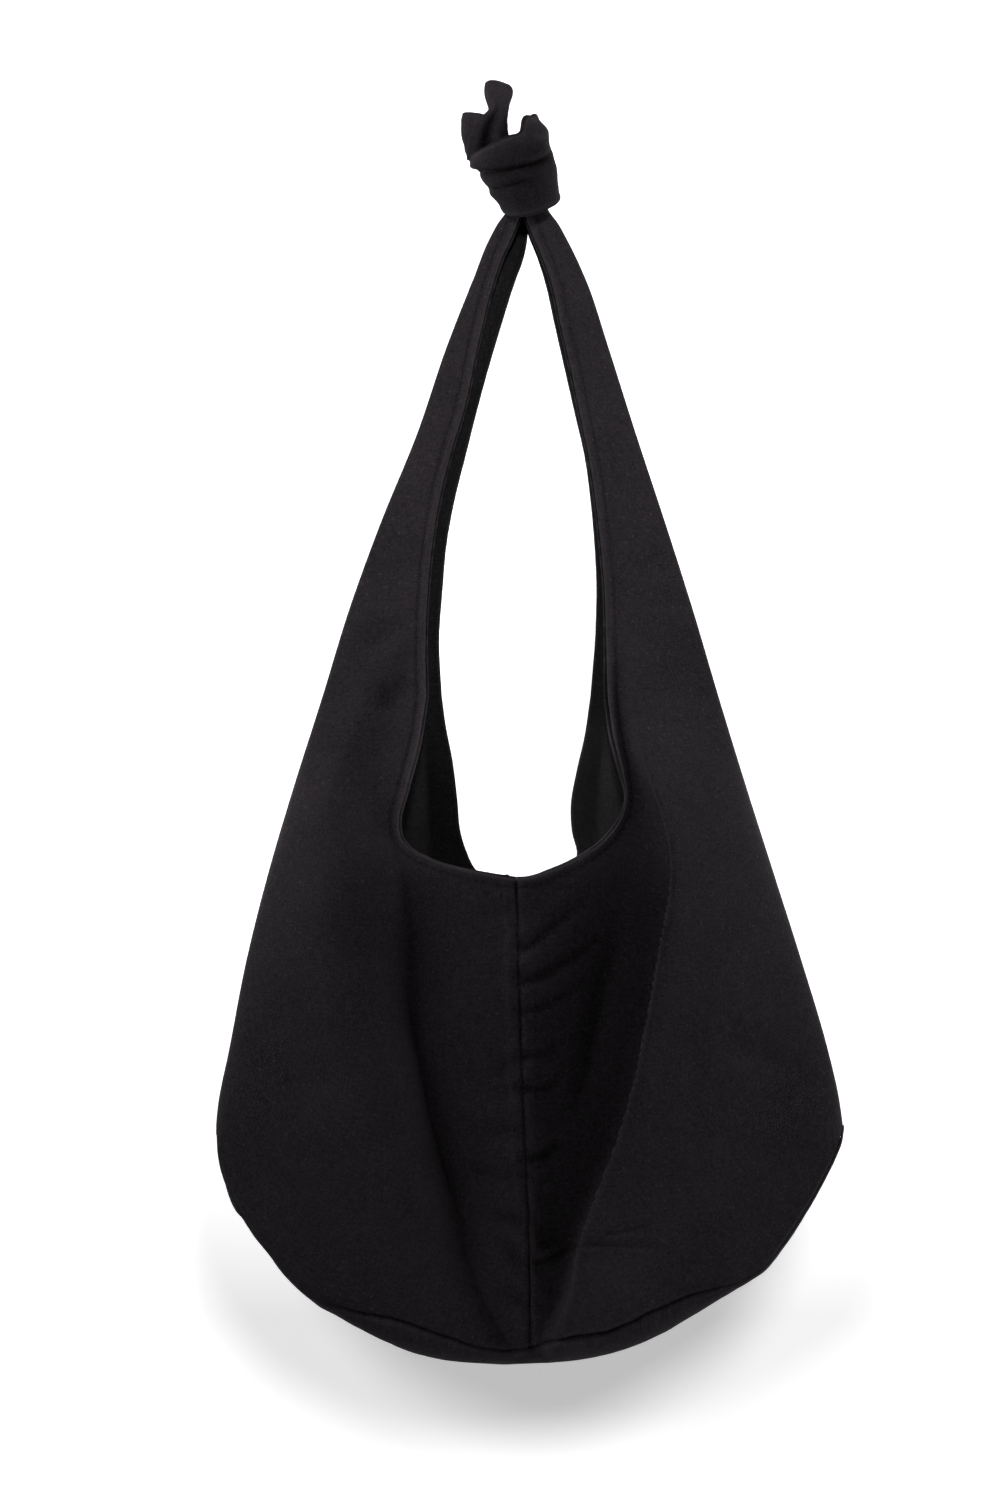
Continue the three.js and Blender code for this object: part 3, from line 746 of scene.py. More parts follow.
def petal_pieces(name, side):
    surf = petal_surface(side)
    p, n, free, seam = surf["p"], surf["n"], surf["free"], surf["seam"]
    pucker = ripples(p, HEM_PUCKER) * np.exp(-free / 9) + ripples(p, SEAM_PUCKER) * np.exp(-seam / 11)
    hem = HEM_ROLL * (1 - smoothstep(free, 1.8, 3.2)) - STITCH_SINK * bell(free - STITCH_INSET, 1.0)
    pad = SEAM_PAD * (1 - smoothstep(seam, 7, 9)) - SEAM_DITCH * bell(seam, 1.7)
    lift = hem + pad + pucker - BASE_TURN_IN * smoothstep(ROWS[:, None], 2.985, 3.0)
    sunk = np.minimum(lift, 0) * SUNK_INSIDE
    outer = p + n * (CANVAS / 2 + lift)[..., None]
    inner = p + n * (sunk - CANVAS / 2)[..., None]
    cloth = sheet_object(name + "_petal", outer, inner, surf["uv"], canvas_tone(surf))
    pick_r = every_second(len(ROWS))
    pick = np.ix_(pick_r, every_second(p.shape[1], surf["split"] - 1, 1, p.shape[1] - 2))
    inside = p[pick] + n[pick] * (sunk[pick] - LINING_INSET)[..., None]
    free = free[pick]
    inside = inside + surf["out"][pick] * (RIM_STEP * bell(free, 2.2))[..., None]
    swell = LINING_HEM * (1 - smoothstep(free, 3.0, 4.2)) - 0.2 * bell(free - STITCH_INSET, 1.2)
    top = inside + n[pick] * (LINING / 2)
    low = inside - n[pick] * (LINING / 2 + swell)[..., None]
    # Painted highlight along the lining's edge and painted shade just inside it, then the painted light and
    # shade inside the bag
    tone = LINING_EDGE_TONE * bell(free, 0.6) + LINING_INNER_TONE * bell(free - 1.4, 0.6)
    tone = tone + inside_tone(name, side["sign"], p[pick], ROWS[pick_r][:, None])
    lining = sheet_object(name + "_petal_lining", top, low, surf["uv"][pick], tone)
    surf.update(outer=outer)
    return cloth, lining, surf


petals = {name: petal_pieces(name, side) for name, side in SIDES.items()}


# The base
BASE_REACH = 0.998
BASE_ROUND_PX = 8.0


def base_edges():
    """The base seam in pixels from left to right, and the depths of its front and back."""
    k = np.linspace(0, BASE_REACH, 110 // FINE)
    reach = 0.5 * k + 0.5 * np.sin(k * math.pi / 2)
    seam, front, back = [], [], []
    for name, order in (("left", -1), ("right", 1)):
        surf = petals[name][2]
        foot, split = surf["p"][-1, :, 1], surf["split"]
        seam.append(bottom_pixels(SIDES[name], reach)[::order])
        front.append((np.interp(reach, shares(FRONT_COLUMNS), foot[:split]) + SEAM_LAP)[::order])
        back.append((np.interp(reach, shares(BACK_COLUMNS), foot[split - 1:][::-1]) - SEAM_LAP)[::order])
    return np.concatenate(seam), np.concatenate(front), np.concatenate(back)


def base_pieces():
    seam, front, back = base_edges()
    back = np.maximum(back, front + 0.5)
    low_py = np.maximum(BASE_OUTLINE(seam[:, 0]), seam[:, 1] + 1.0)
    turn = np.linspace(0, math.pi, 40 // FINE + 1)
    across = (1 - np.sign(np.cos(turn)) * np.abs(np.cos(turn)) ** 0.55) / 2
    drop = np.sin(turn) ** 0.8
    px = np.repeat(seam[:, 0][:, None], len(turn), 1)
    start = seam[:, 1][:, None] - SEAM_RISE_PX
    py = start + (low_py[:, None] - start) * drop
    y = lerp(front[:, None], back[:, None], across[None])
    full = np.minimum(py - start, BASE_ROUND_PX) / BASE_ROUND_PX
    y = y - SEAM_LAP * full * np.sign(np.cos(turn))
    py = py + ripples(np.stack([px, y * 1.5, 0 * px], -1), BASE_RIPPLES) * drop
    p = place(px, py, y)
    n = grid_normals(p)
    n = n * np.sign(-n[..., 2].mean())
    edge = (py - start) * PIXEL
    lift = ripples(p, BASE_EDGE_PUCKER) * np.exp(-edge / 6)
    along = run_of(p[:, len(turn) // 2])
    uv = np.stack([np.repeat(along[:, None], len(turn), 1), np.repeat(y.mean(0)[None], len(p), 0)], -1)
    # Painted shade in the base seam just under the petals, and a painted highlight band a little below it
    tone = (0.5 * bell(edge - 3.5, 1.5) - np.exp(-edge / 0.9)) * base_shows(p[..., 0])
    outer, inner = p + n * (CANVAS / 2 + lift)[..., None], p - n * (CANVAS / 2)
    cloth = sheet_object("base_cloth", outer, inner, uv, tone)
    inset = np.ix_(np.arange(3, len(p) - 3), np.arange(2, len(turn) - 2))
    inside, half = p[inset] - n[inset] * LINING_INSET, n[inset] * (LINING / 2)
    lining = sheet_object("base_cloth_lining", inside + half, inside - half, uv[inset], 0 * edge[inset])
    return cloth, lining


base_cloth, base_lining = base_pieces()


# The knot
TILT = math.radians(16)
KNOT = np.array([2.7, 0, 10.0])
KNOT_RIGHT = np.array([math.cos(TILT), 0, math.sin(TILT)])
KNOT_UP = np.array([-math.sin(TILT), 0, math.cos(TILT)])
KNOT_FRONT = np.array([0, -1.0, 0])
KNOT_FLATTEN = 0.88

# The band's course by turns about the knot: heights of its edges, radii there, swell and thickness
BAND_TURNS = 1.53
BAND_LOW = through(
    [0, 0.25, 0.5, 0.75, 1.0, 1.12, 1.25, 1.38, 1.5, 1.53], [16, 12, 10, 11, 12.5, 6, 2.5, 4.5, 10, 12])
BAND_HIGH = through(
    [0, 0.25, 0.5, 0.75, 1.0, 1.12, 1.25, 1.33, 1.37, 1.42, 1.48, 1.53],
    [38, 40, 43, 46, 49.5, 50, 52.5, 54.5, 62.5, 63.0, 65.0, 65.5])
BAND_FOOT = through(
    [0, 0.5, 0.75, 1.0, 1.12, 1.25, 1.38, 1.5, 1.53], [12.6, 15.5, 17, 15.6, 17, 20, 22.5, 24, 24])
BAND_HEAD = through(
    [0, 0.5, 0.75, 1.0, 1.12, 1.25, 1.38, 1.5, 1.53], [12.6, 16.5, 20, 26.5, 26, 24, 23.5, 24, 23.5])
BAND_BELLY = through([0, 0.5, 0.75, 1.0, 1.25, 1.5, 1.53], [0.5, 0.5, 1.5, 1.0, 3.0, 3.6, 3.0])
BAND_THICK = through([0, 0.5, 1.0, 1.5, 1.53], [2.4, 2.6, 3.4, 3.6, 3.0])
BAND_RIPPLES = [(0.7, 8, 31, 0.35, 1, 1), (0.35, 4.5, 32, 0.6, 1, 1)]
BAND_EAR = {"begin": (1.36, 1.46), "height": 54.0, "width": 6.0, "swell": 2.6}
# Creases round the band: their height by turns, where they begin and end, their depth and width, the
# height, offset and width of the lip beside them, and the strength and width of their dark line of painted
# shade
BAND_CREASES = [
    {"height": through([0.9, 1.0, 1.12, 1.25, 1.38, 1.47, 1.53], [42, 40.5, 36, 33, 34, 38.5, 44]),
     "begin": (0.93, 1.02), "end": (1.37, 1.46), "sunk": (5.2, 1.8),
     "lip": (2.4, 5.0, 3.2), "dark": (1.0, 1.5)},
    {"height": through([0.9, 1.0, 1.15, 1.3, 1.53], [30, 28, 24, 23, 26]),
     "begin": (0.95, 1.05), "end": (1.24, 1.36), "sunk": (2.4, 1.9),
     "lip": (1.1, -5.0, 3.4), "dark": (0.8, 1.4)},
    {"height": through([0.9, 1.2, 1.35, 1.53], [50, 48, 47, 52]),
     "begin": (1.2, 1.3), "end": (1.4, 1.5), "sunk": (1.0, 2.0),
     "lip": (0.0, 0.0, 1.0), "dark": (0.0, 1.0)},
]


def knot_place(angle, radius, height):
    """A point about the knot's axis; angle 0 is left, a quarter turn is the front."""
    side = -np.cos(angle)[..., None] * KNOT_RIGHT + KNOT_FLATTEN * np.sin(angle)[..., None] * KNOT_FRONT
    return KNOT + side * radius[..., None] + height[..., None] * KNOT_UP


def knot_band():
    """A band with rounded edges that winds round the knot's axis and ends in an ear."""
    turns = np.linspace(0.0, BAND_TURNS, 240 // FINE)[:, None]
    outer_n, inner_n, cap_n = 44 // FINE, 12, 4
    low, high = BAND_LOW(turns), BAND_HIGH(turns)

    def over(share):
        """The heights and the radii across the band, without its swell."""
        return lerp(low, high, share), lerp(BAND_FOOT(turns), BAND_HEAD(turns), share)

    eta = np.linspace(0.0, 1.0, outer_n)[None]
    tn = np.repeat(turns, outer_n, 1)
    h, r = over(eta)
    r = r + BAND_BELLY(turns) * np.sin(math.pi * eta)
    dent, dark = 0 * h, 0 * h
    for crease in BAND_CREASES:
        off = h - crease["height"](tn)
        fade = smoothstep(tn, *crease["begin"]) * (1 - smoothstep(tn, *crease["end"]))
        (deep, wide), (lip, lip_off, lip_wide) = crease["sunk"], crease["lip"]
        dent = dent + (deep * bell(off, wide) - lip * bell(off - lip_off, lip_wide)) * fade
        dark = dark + crease["dark"][0] * bell(off, crease["dark"][1]) * fade
    ear = BAND_EAR["swell"] * bell(h - BAND_EAR["height"], BAND_EAR["width"])
    dent = dent - ear * smoothstep(tn, *BAND_EAR["begin"])
    dent = dent + ripples(np.stack([tn * 60, h, 0 * h], -1), BAND_RIPPLES)
    lip = 0.9 * bell(high - h, 2.2) + 0.7 * bell(h - low, 2.2)
    outer = knot_place(tn * 2 * math.pi, r - dent + lip, h)
    eta = np.linspace(1, 0, inner_n)[None]
    hi, ri = over(eta)
    ri = ri + 0.5 * BAND_BELLY(turns) * np.sin(math.pi * eta) - BAND_THICK(turns)
    inner = knot_place(np.repeat(turns, inner_n, 1) * 2 * math.pi, ri, hi)
    top = half_ring(outer[:, -1], inner[:, 0], KNOT_UP, cap_n)
    bottom = half_ring(inner[:, -1], outer[:, 0], -KNOT_UP, cap_n)
    rings = np.concatenate([outer, top, inner, bottom], axis=1)
    tone = np.zeros(rings.shape[:2])
    # Lighter along the band's edges, edge wear and a painted highlight; painted shade in its creases; and
    # painted light on its top, where light falls from above
    edges = np.exp(-(high - h) / 1.6) + np.exp(-(h - low) / 1.6)
    top_tone = BAND_TOP_TONE * smoothstep(h, 36, 58) * smoothstep(tn, 0.9, 1.0)
    tone[:, :outer_n] = edges - dark + top_tone
    return tube_object("knot_band", rings, tone)


def knot_bundle():
    """The two straps, bunched side by side as they run up inside the band."""
    beta = np.linspace(0, 2 * math.pi, 64, endpoint=False)
    rings = []
    for h in np.linspace(4.0, 55.0, 40):
        narrow = lerp(1.0, 0.6, float(smoothstep(h, 34, 48)))
        wide = lerp(13.0, 10.6, float(smoothstep(h, 4, 16))) * narrow
        deep = lerp(7.0, 10.2, float(smoothstep(h, 4, 16))) * narrow
        pleat = 1 + 0.07 * np.sin(beta * 6 + 0.05 * h) + 0.05 * np.sin(beta * 10 - 0.04 * h)
        across = (np.cos(beta) * wide * pleat)[:, None] * KNOT_RIGHT
        rings.append(KNOT + KNOT_UP * h + across - (np.sin(beta) * deep * pleat)[:, None] * KNOT_FRONT)
    return tube_object("knot_bundle", rings)


# A tail's section is squared off by a power below 1. Its cleft and its crease have a width in radians, and
# the crease turns from one angle to another along it.
TAIL_SQUARED = 0.75
CLEFT_WIDTH, TAIL_CREASE_WIDTH, TAIL_CREASE_TURN = 0.28, 0.2, (1.55, 1.95)
# Painted light towards a tail's top and on the band's top, where light falls from above
TAIL_TONE, BAND_TOP_TONE = 0.9, 0.8


def rounded_end(t):
    """The last of a tail narrows to a blunt tip."""
    start, tip = 0.94, 0.45
    return lerp(tip, 1.0, math.sqrt(max(1 - (max(t - start, 0) / (1 - start)) ** 2, 0.0)))


def tail(name, path, half_width, half_depth, turn, seed, cleft, crease):
    """A folded strap end along a path: flat, turned about its length, with a cleft between its two layers
    and a crease of some depth down its front."""
    count, sides = 60 // FINE, 48
    shares_along = np.linspace(0, 1, count)
    line = curve([place(*spot) for spot in path])(shares_along)
    ahead = unit(np.gradient(line, axis=0))
    beta = np.linspace(0, 2 * math.pi, sides, endpoint=False)
    c, s = np.cos(beta), np.sin(beta)
    cs, sn = (np.sign(way) * np.abs(way) ** TAIL_SQUARED for way in (c, s))
    notch = cleft * bell(np.minimum(beta, 2 * math.pi - beta), CLEFT_WIDTH)
    rings, tone = [], []
    for k, t in enumerate(shares_along):
        right = unit(np.cross(ahead[k], KNOT_FRONT))
        front = unit(np.cross(right, ahead[k]))
        a = float(turn(t))
        wide_way = right * math.cos(a) + front * math.sin(a)
        deep_way = front * math.cos(a) - right * math.sin(a)
        end = rounded_end(t)
        wide = float(half_width(t)) * end * (1 - notch)
        deep = float(half_depth(t)) * end
        ring = line[k] + (cs * wide)[:, None] * wide_way + (sn * deep)[:, None] * deep_way
        rough = ripples(ring, [(0.6, 7, seed), (0.35, 3.5, seed + 1)]) * end
        ring = ring + rough[:, None] * (cs[:, None] * wide_way + sn[:, None] * deep_way)
        fold = bell(beta - lerp(*TAIL_CREASE_TURN, t), TAIL_CREASE_WIDTH)
        fold = fold * float(smoothstep(t, 0.0, 0.15)) * (1 - float(smoothstep(t, 0.45, 0.75)))
        rings.append(ring - (crease * fold)[:, None] * deep_way)
        # Painted light towards the tail's top, and painted shade in its crease
        tone.append(TAIL_TONE * float(smoothstep(t, 0.3, 0.75)) - min(crease, 1) * fold)
    return tube_object(name, rings, np.array(tone))


# A tail's path has the pixels of its middle line and their depths
upper_tail = tail(
    "upper_tail_cloth",
    [(489, 161, -3), (490, 143, -6), (494, 127, -6), (499, 111, -4), (498.5, 97, -2), (499, 82, 0)],
    through([0, 0.22, 0.43, 0.64, 0.78, 0.9, 1.0], [15.0, 14.6, 11.0, 7.0, 8.8, 10.4, 10.0]),
    through([0, 0.3, 0.55, 0.7, 0.85, 1.0], [6.0, 6.0, 5.4, 5.2, 4.8, 4.0]),
    through([0, 0.4, 0.75, 1.0], [0.1, 0.15, -0.4, -0.6]),
    seed=41, cleft=0.22, crease=3.4)
side_tail = tail(
    "side_tail_cloth",
    [(484, 160, 4), (479, 148, 4), (475, 134, 3), (474, 122, 2), (475, 112.5, 1)],
    through([0, 0.3, 0.6, 1.0], [9.2, 9.6, 9.2, 8.4]),
    through([0, 0.4, 1.0], [4.6, 4.4, 3.8]),
    through([0, 0.5, 1.0], [-0.2, -0.1, 0.25]),
    seed=43, cleft=0.2, crease=0.0)
band, bundle = knot_band(), knot_bundle()


# Topstitch
STITCH_SPAN = (0.14, 0.86)
STITCH_ARCH, STITCH_DEPTH = 0.40, 0.30
THREAD_THIN, THREAD_SWELL = 0.12, 0.20
# Where a stitch line begins and ends, from the throat (0) to the mouth (2)
STITCHED = (0.06, 1.985)


def between(at, run, values):
    """Rows of values at some distances along a line."""
    return np.stack([np.interp(at, run, values[:, i]) for i in range(3)], -1)


def stitches(runs):
    """Thread along lines of points with normals: one short bead per stitch, its ends sunk in the cloth."""
    points, faces = [], []
    steps, sides = 6, 6
    arch = np.sin(np.linspace(0, math.pi, steps))
    radius = (THREAD_THIN + THREAD_SWELL * arch ** 0.6)[:, None, None]
    beta = np.linspace(0, 2 * math.pi, sides, endpoint=False)[None, :, None]
    for line, normal in runs:
        run = run_of(line)
        for k in range(int(run[-1] / STITCH_PITCH)):
            at = (k + np.linspace(*STITCH_SPAN, steps)) * STITCH_PITCH
            centre = between(at, run, line)
            up = unit(between(at, run, normal))
            side = unit(np.cross(unit(np.gradient(centre, axis=0)), up))
            centre = centre + up * (STITCH_ARCH * arch - STITCH_DEPTH)[:, None]
            ring = centre[:, None] + side[:, None] * (np.cos(beta) * radius)
            ring = ring + up[:, None] * (np.sin(beta) * radius)
            first = len(points) * steps * sides
            points.append(ring.reshape(-1, 3))
            for a, b, c, d in grid_quads(steps, sides, closed=True):
                faces.append((first + a, first + d, first + c, first + b))
            faces.append(tuple(first + j for j in reversed(range(sides))))
            faces.append(tuple(first + (steps - 1) * sides + j for j in range(sides)))
    return np.concatenate(points), faces


def grid_tree(grid):
    return BVHTree.FromPolygons(grid.reshape(-1, 3).tolist(), grid_quads(*grid.shape[:2], closed=False))


def stitch_run(side, back, tree):
    """A stitch line a fixed distance in from the free edge, laid on the surface by looking along Y."""
    line = edge_line(side, back, np.linspace(*STITCHED, 420))
    flat = (line + inward(line) * STITCH_INSET * side["sign"])[:, [0, 2]]
    outside = 1.0 if back else -1.0
    keep, normals = [], []
    for fx, fz in flat:
        hit, normal, _, _ = tree.ray_cast(Vector((fx, 200.0 * outside, fz)), Vector((0, -outside, 0)))
        if hit is None:
            continue
        keep.append(hit)
        normals.append(normal if normal.y * outside > 0 else -normal)
    return np.array(keep, float), np.array(normals, float)


def thread_piece(name, side, surf):
    split = surf["split"]
    front, back = grid_tree(surf["outer"][:, :split]), grid_tree(surf["outer"][:, split - 1:])
    return mesh_object(name, *stitches([stitch_run(side, False, front), stitch_run(side, True, back)]))


threads = {name: thread_piece(name + "_topstitch", SIDES[name], petals[name][2]) for name in SIDES}


# Materials
class Tree:
    """A node tree, with short ways to add the nodes that are used here."""

    def __init__(self, owner):
        owner.use_nodes = True
        self.nodes, self.links = owner.node_tree.nodes, owner.node_tree.links

    def feed(self, node, values):
        """Links or sets a node's inputs, by their names or places."""
        for key, value in values.items():
            if isinstance(value, bpy.types.NodeSocket):
                self.links.new(value, node.inputs[key])
            else:
                node.inputs[key].default_value = value

    def add(self, kind, values):
        node = self.nodes.new("ShaderNode" + kind)
        self.feed(node, values)
        return node

    def math(self, kind, *values):
        node = self.add("Math", dict(enumerate(values)))
        node.operation = kind
        return node.outputs[0]

    def total(self, first, *others):
        for other in others:
            first = self.math("ADD", first, other)
        return first

    def noise(self, vector, scale, detail, roughness=0.5):
        values = {"Vector": vector, "Scale": scale, "Detail": detail, "Roughness": roughness}
        return self.add("TexNoise", values).outputs["Fac"]

    def span(self, value, low, high, to_low, to_high):
        values = {"Value": value, "From Min": low, "From Max": high, "To Min": to_low, "To Max": to_high}
        return self.add("MapRange", values).outputs["Result"]

    def blend(self, share, dark, light):
        node = self.nodes.new("ShaderNodeMix")
        node.data_type = "RGBA"
        node.clamp_factor = False
        self.feed(node, {"Factor": share, 6: (*dark, 1), 7: (*light, 1)})
        return node.outputs[2]


SPECULAR = 0.06
DARKEST_TONE = -0.55
# Noise scales per metre: threads along their run, grain, mottle and lint
SLUB, GRAIN, MOTTLE, LINT = 900, 750, 22, 480
SLUB_STRETCH = 0.22


def cloth_material(name, dark, light, pitch, rough, sheen, weave_depth, speck):
    """A plain weave of slubby threads with lint on it, lighter or darker by the wear and the painted light
    and shade of its points.
    """
    material = bpy.data.materials.new(name)
    tree = Tree(material)
    uv = tree.nodes.new("ShaderNodeUVMap")
    uv.uv_map = "cloth"
    uv = uv.outputs["UV"]
    spot = tree.add("TexCoord", {}).outputs["Object"]
    split = tree.add("SeparateXYZ", {0: uv})
    turns = 2 * math.pi / pitch
    warp, weft = (tree.math("SINE", tree.math("MULTIPLY", split.outputs[way], turns)) for way in "XY")
    cross = tree.math("MULTIPLY", warp, weft)
    ribs = tree.math("ABSOLUTE", weft)
    weave = tree.total(tree.math("MULTIPLY", cross, 0.35), tree.math("MULTIPLY", ribs, 0.25))
    slubs = []
    for stretch in ((1.0, SLUB_STRETCH, 1.0), (SLUB_STRETCH, 1.0, 1.0)):
        vector = tree.add("Mapping", {"Vector": uv, "Scale": stretch}).outputs["Vector"]
        slubs.append(tree.math("MULTIPLY", tree.noise(vector, SLUB, 2), 0.5))
    slub = tree.total(*slubs)
    grain = tree.noise(spot, GRAIN, 2, 0.7)
    mottle = tree.noise(spot, MOTTLE, 4, 0.6)
    lint = tree.span(tree.noise(spot, LINT, 1), 0.66, 0.76, 0.0, speck)
    height = tree.total(weave, tree.math("MULTIPLY", slub, 0.8))
    bump = tree.add("Bump", {"Strength": 0.75, "Distance": weave_depth, "Height": height})
    # The per-point tone adds wear and painted light and shade to the cloth's colour
    wear = tree.nodes.new("ShaderNodeAttribute")
    wear.attribute_name = "wear"
    tone = tree.total(
        tree.span(slub, 0.36, 0.64, 0.0, 0.55), tree.span(grain, 0.3, 0.7, -0.35, 0.50),
        tree.span(mottle, 0.3, 0.7, -0.1, 0.16), tree.math("MULTIPLY", cross, 0.08), lint,
        wear.outputs["Fac"])
    tree.feed(tree.nodes["Principled BSDF"], {
        "Base Color": tree.blend(tree.math("MAXIMUM", tone, DARKEST_TONE), dark, light),
        "Roughness": tree.span(grain, 0.3, 0.7, rough - 0.06, rough + 0.05),
        "Normal": bump.outputs["Normal"],
        "Sheen Weight": sheen,
        "Sheen Roughness": 0.45,
        "Sheen Tint": (0.8, 0.74, 0.84, 1),
        "Specular IOR Level": SPECULAR,
    })
    return material


def thread_material():
    material = bpy.data.materials.new("thread")
    tree = Tree(material)
    grain = tree.add("TexNoise", {"Scale": 1800}).outputs["Fac"]
    tree.feed(tree.nodes["Principled BSDF"], {
        "Base Color": tree.blend(grain, (0.007, 0.0062, 0.007), (0.014, 0.0124, 0.014)),
        "Roughness": tree.span(grain, 0, 1, 0.5, 0.75),
        "Specular IOR Level": SPECULAR,
    })
    return material


CANVAS_WEAVE = {"pitch": 0.0009, "rough": 0.92, "sheen": 0.012, "weave_depth": 0.00025, "speck": 0.9}
LINING_WEAVE = {"pitch": 0.0007, "rough": 0.9, "sheen": 0.008, "weave_depth": 0.00015, "speck": 0.5}
canvas = cloth_material("canvas", (0.0085, 0.0073, 0.0086), (0.0200, 0.0172, 0.0204), **CANVAS_WEAVE)
# The knot's canvas is the same canvas painted darker: painted shade on the bunched knot
knot_canvas = cloth_material(
    "knot_canvas", (0.0073, 0.0063, 0.0074), (0.0172, 0.0148, 0.0175), **CANVAS_WEAVE)
lining = cloth_material("lining", (0.0080, 0.0074, 0.0080), (0.0170, 0.0158, 0.0172), **LINING_WEAVE)
thread = thread_material()


# Materials, hidden CAD parts, and riding on bodies
def dress(obj, material):
    obj.data.materials.append(material)


for name, (cloth, inner, surf) in petals.items():
    dress(cloth, canvas)
    dress(inner, lining)
    dress(threads[name], thread)
    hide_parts(name + "_panel", name + "_strap")
    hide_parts(name + "_lining", name + "_strap_lining")
    for piece in (cloth, inner, threads[name]):
        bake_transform(piece)
for piece, material, slot_name, node in (
    (base_cloth, canvas, "canvas", "base_panel"), (base_lining, lining, "lining", "base_lining"),
):
    dress(piece, material)
    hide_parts(node)
    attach(piece, "bag_body")
for piece, node, body in (
    (band, "knot_wrap", "strap_loop"), (bundle, "knot_core", "strap_loop"),
    (upper_tail, "upper_tail", "upper_tail"), (side_tail, "side_tail", "side_tail"),
):
    dress(piece, knot_canvas)
    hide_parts(node)
    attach(piece, body)

# Stage, light and camera
WALL_Y, FLOOR_Z, STAGE_REACH = 0.6, -1.25, 5.0
PAPER = (0.82, 0.81, 0.82, 1)
# The paper's lift for the camera, between two heights
LIFT_LOW_Z, LIFT_HIGH_Z, LIFT_LOW, LIFT_HIGH = -0.82, -0.64, 0.5, 0.95
AMBIENT, BACKGROUND = 0.02, 1.0


def pale_material(name):
    """White paper that is lifted for the camera, less so low down, and seen through from behind."""
    material = bpy.data.materials.new(name)
    tree = Tree(material)
    tree.nodes.clear()
    paper = tree.add("BsdfDiffuse", {"Color": PAPER})
    camera_ray = tree.add("LightPath", {}).outputs["Is Camera Ray"]
    surface = tree.add("NewGeometry", {})
    height = tree.add("SeparateXYZ", {0: surface.outputs["Position"]}).outputs["Z"]
    level = tree.math("MULTIPLY", camera_ray, tree.span(height, LIFT_LOW_Z, LIFT_HIGH_Z, LIFT_LOW, LIFT_HIGH))
    lift = tree.add("Emission", {"Strength": level})
    both = tree.add("AddShader", {0: paper.outputs[0], 1: lift.outputs[0]})
    clear = tree.add("BsdfTransparent", {})
    mix = tree.add("MixShader", {0: surface.outputs["Backfacing"], 1: both.outputs[0], 2: clear.outputs[0]})
    tree.add("OutputMaterial", {"Surface": mix.outputs[0]})
    return material


def stage_plane(name, corners):
    mesh = bpy.data.meshes.new(name)
    mesh.from_pydata(corners, [], [(0, 1, 2, 3)])
    obj = bpy.data.objects.new(name, mesh)
    bpy.context.scene.collection.objects.link(obj)
    mesh.materials.append(pale_material("pale_" + name))
    return obj


floor = stage_plane("floor", [
    (-STAGE_REACH, -STAGE_REACH, FLOOR_Z), (STAGE_REACH, -STAGE_REACH, FLOOR_Z),
    (STAGE_REACH, STAGE_REACH, FLOOR_Z), (-STAGE_REACH, STAGE_REACH, FLOOR_Z)])
wall = stage_plane("wall", [
    (-STAGE_REACH, WALL_Y, FLOOR_Z), (STAGE_REACH, WALL_Y, FLOOR_Z),
    (STAGE_REACH, WALL_Y, STAGE_REACH), (-STAGE_REACH, WALL_Y, STAGE_REACH)])
wall.visible_shadow = False
floor.visible_diffuse = False


def lit_group(name, pieces):
    """What a lamp that is meant for these pieces alone shines on."""
    group = bpy.data.collections.new(name)
    for piece in pieces:
        group.objects.link(piece)
    return group


petal_cloths = [piece for cloth, inner, surf in petals.values() for piece in (cloth, inner)]
knot_cloths = [band, bundle, upper_tail, side_tail]
wall_only = lit_group("wall_only", [wall])
petals_only = lit_group("petals_only", petal_cloths)
base_and_threads = [*threads.values(), base_cloth, base_lining]
cloth_only = lit_group("cloth_only", [*petal_cloths, *base_and_threads, *knot_cloths])
knot_only = lit_group("knot_only", knot_cloths)


def lamp(name, spot, aim, size, power, colour=(1, 1, 1), lights=None, cone=None):
    """A round soft lamp, or a spot with a soft edge when its cone is given in degrees."""
    data = bpy.data.lights.new(name, "SPOT" if cone else "AREA")
    if cone:
        data.spot_size = math.radians(cone)
        data.spot_blend = 1.0
        data.shadow_soft_size = size / 2
    else:
        data.shape = "DISK"
        data.size = size
    data.energy = power
    data.color = colour
    data.cycles.use_multiple_importance_sampling = False
    obj = bpy.data.objects.new(name, data)
    bpy.context.scene.collection.objects.link(obj)
    obj.location = spot
    obj.rotation_euler = (Vector(aim) - Vector(spot)).to_track_quat("-Z", "Y").to_euler()
    obj.visible_camera = False
    if lights:
        obj.light_linking.receiver_collection = lights
    return obj


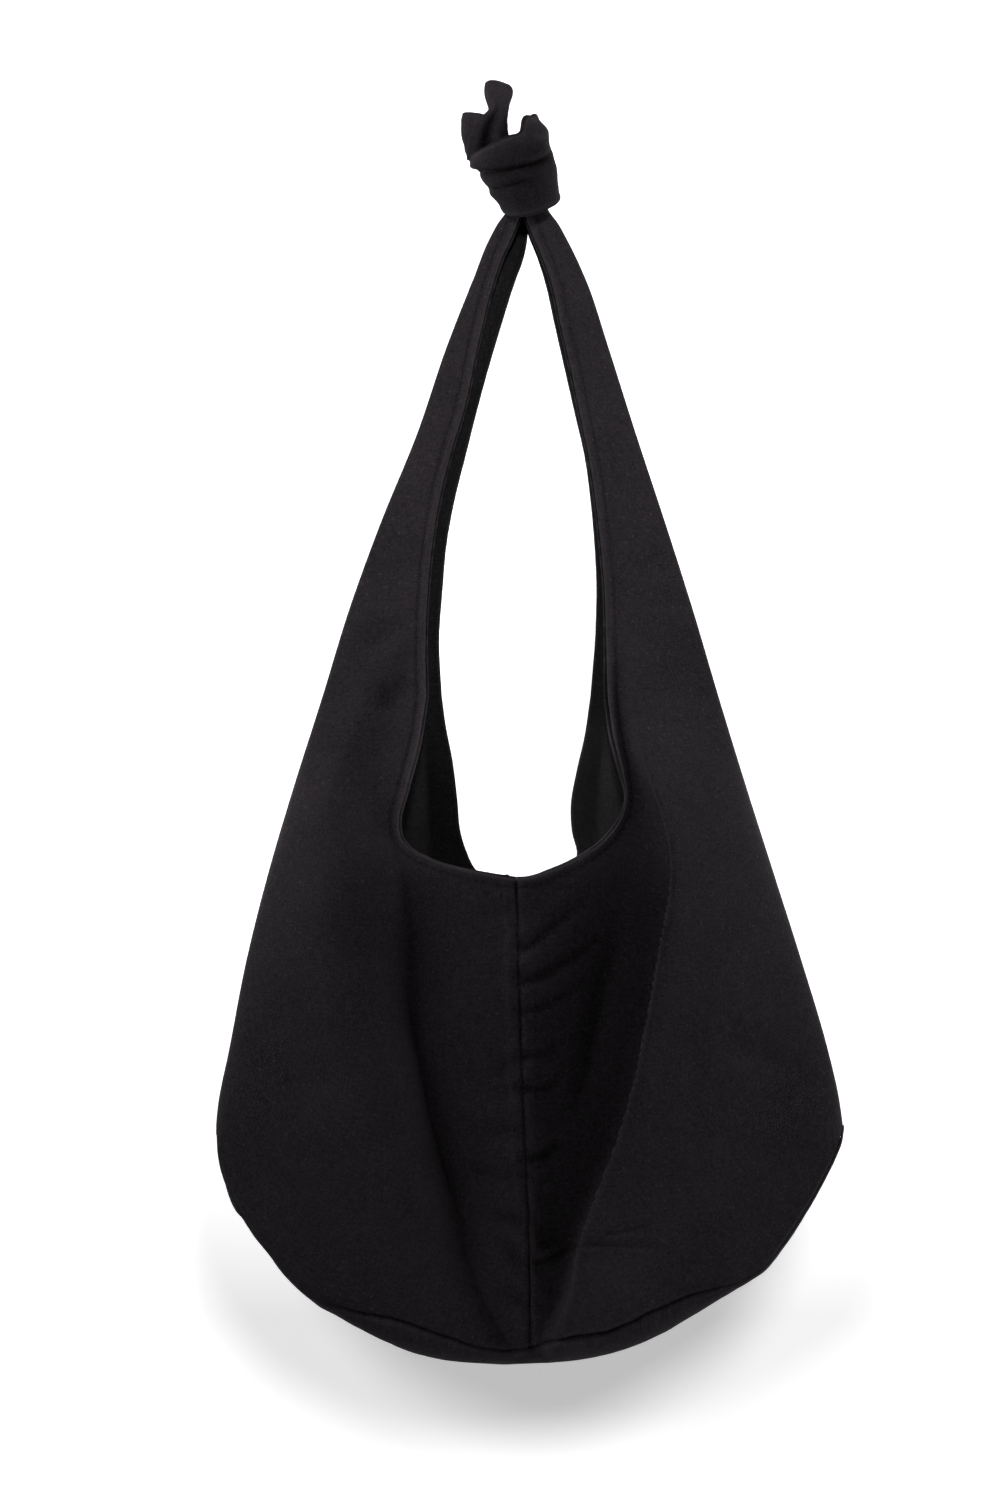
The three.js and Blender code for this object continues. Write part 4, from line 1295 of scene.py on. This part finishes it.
MIDDLE = (0, -0.03, -0.5)
WALL_MIDDLE = (0, WALL_Y, -0.4)
BACK_MIDDLE = (0, 0, -0.4)
lamp("right", (0.66, -0.17, 0.09), MIDDLE, 0.3, 3.9, (1.0, 0.985, 0.97), cloth_only)
lamp("right_side", (0.66, -0.08, -0.20), MIDDLE, 0.3, 2.7, lights=cloth_only)
lamp("right_low", (0.66, -0.10, -0.75), MIDDLE, 0.4, 1.6, lights=cloth_only)
lamp("left", (-0.66, -0.28, 0.09), MIDDLE, 0.3, 5.3, (1.0, 0.99, 0.98), cloth_only)
lamp("left_side", (-0.66, -0.08, -0.20), MIDDLE, 0.3, 3.3, lights=cloth_only)
lamp("low", (0, -0.4, -1.18), MIDDLE, 0.4, 2.2, lights=cloth_only)
lamp("low_front", (0, -1.2, -1.1), MIDDLE, 0.4, 0.6, lights=cloth_only)
lamp("straps", (0, -1.3, 0.7), (0, 0, -0.13), 0.2, 96, lights=petals_only, cone=22)
lamp("knot", (-0.05, -0.9, 0.5), (-0.018, 0, 0.10), 0.1, 48, lights=knot_only, cone=6.8)
lamp("back_right", (1.6, 2.4, 0.6), BACK_MIDDLE, 1.2, 30)
lamp("back_left", (-1.6, 2.4, 0.6), BACK_MIDDLE, 1.2, 30)
lamp("wall_right", (0.12, -2.4, -0.08), WALL_MIDDLE, 0.22, 47, lights=wall_only)
lamp("wall_left", (-0.30, -2.4, -0.10), WALL_MIDDLE, 0.22, 31, lights=wall_only)

world = bpy.data.worlds.new("studio")
bpy.context.scene.world = world
sky = Tree(world)
camera_ray = sky.add("LightPath", {}).outputs["Is Camera Ray"]
strength = sky.span(camera_ray, 0, 1, AMBIENT, BACKGROUND)
sky.feed(sky.nodes["Background"], {"Color": (1, 1, 1, 1), "Strength": strength})

camera = bpy.data.cameras.new("camera")
camera.lens = 85
camera.sensor_width = 36
camera.clip_end = 50
eye = bpy.data.objects.new("camera", camera)
bpy.context.scene.collection.objects.link(eye)
eye.location = (CAMERA_X * METRE, -EYE * METRE, CAMERA_Z * METRE)
eye.rotation_euler = (math.pi / 2, 0, 0)
bpy.context.scene.camera = eye
bpy.context.scene.view_settings.view_transform = "Standard"
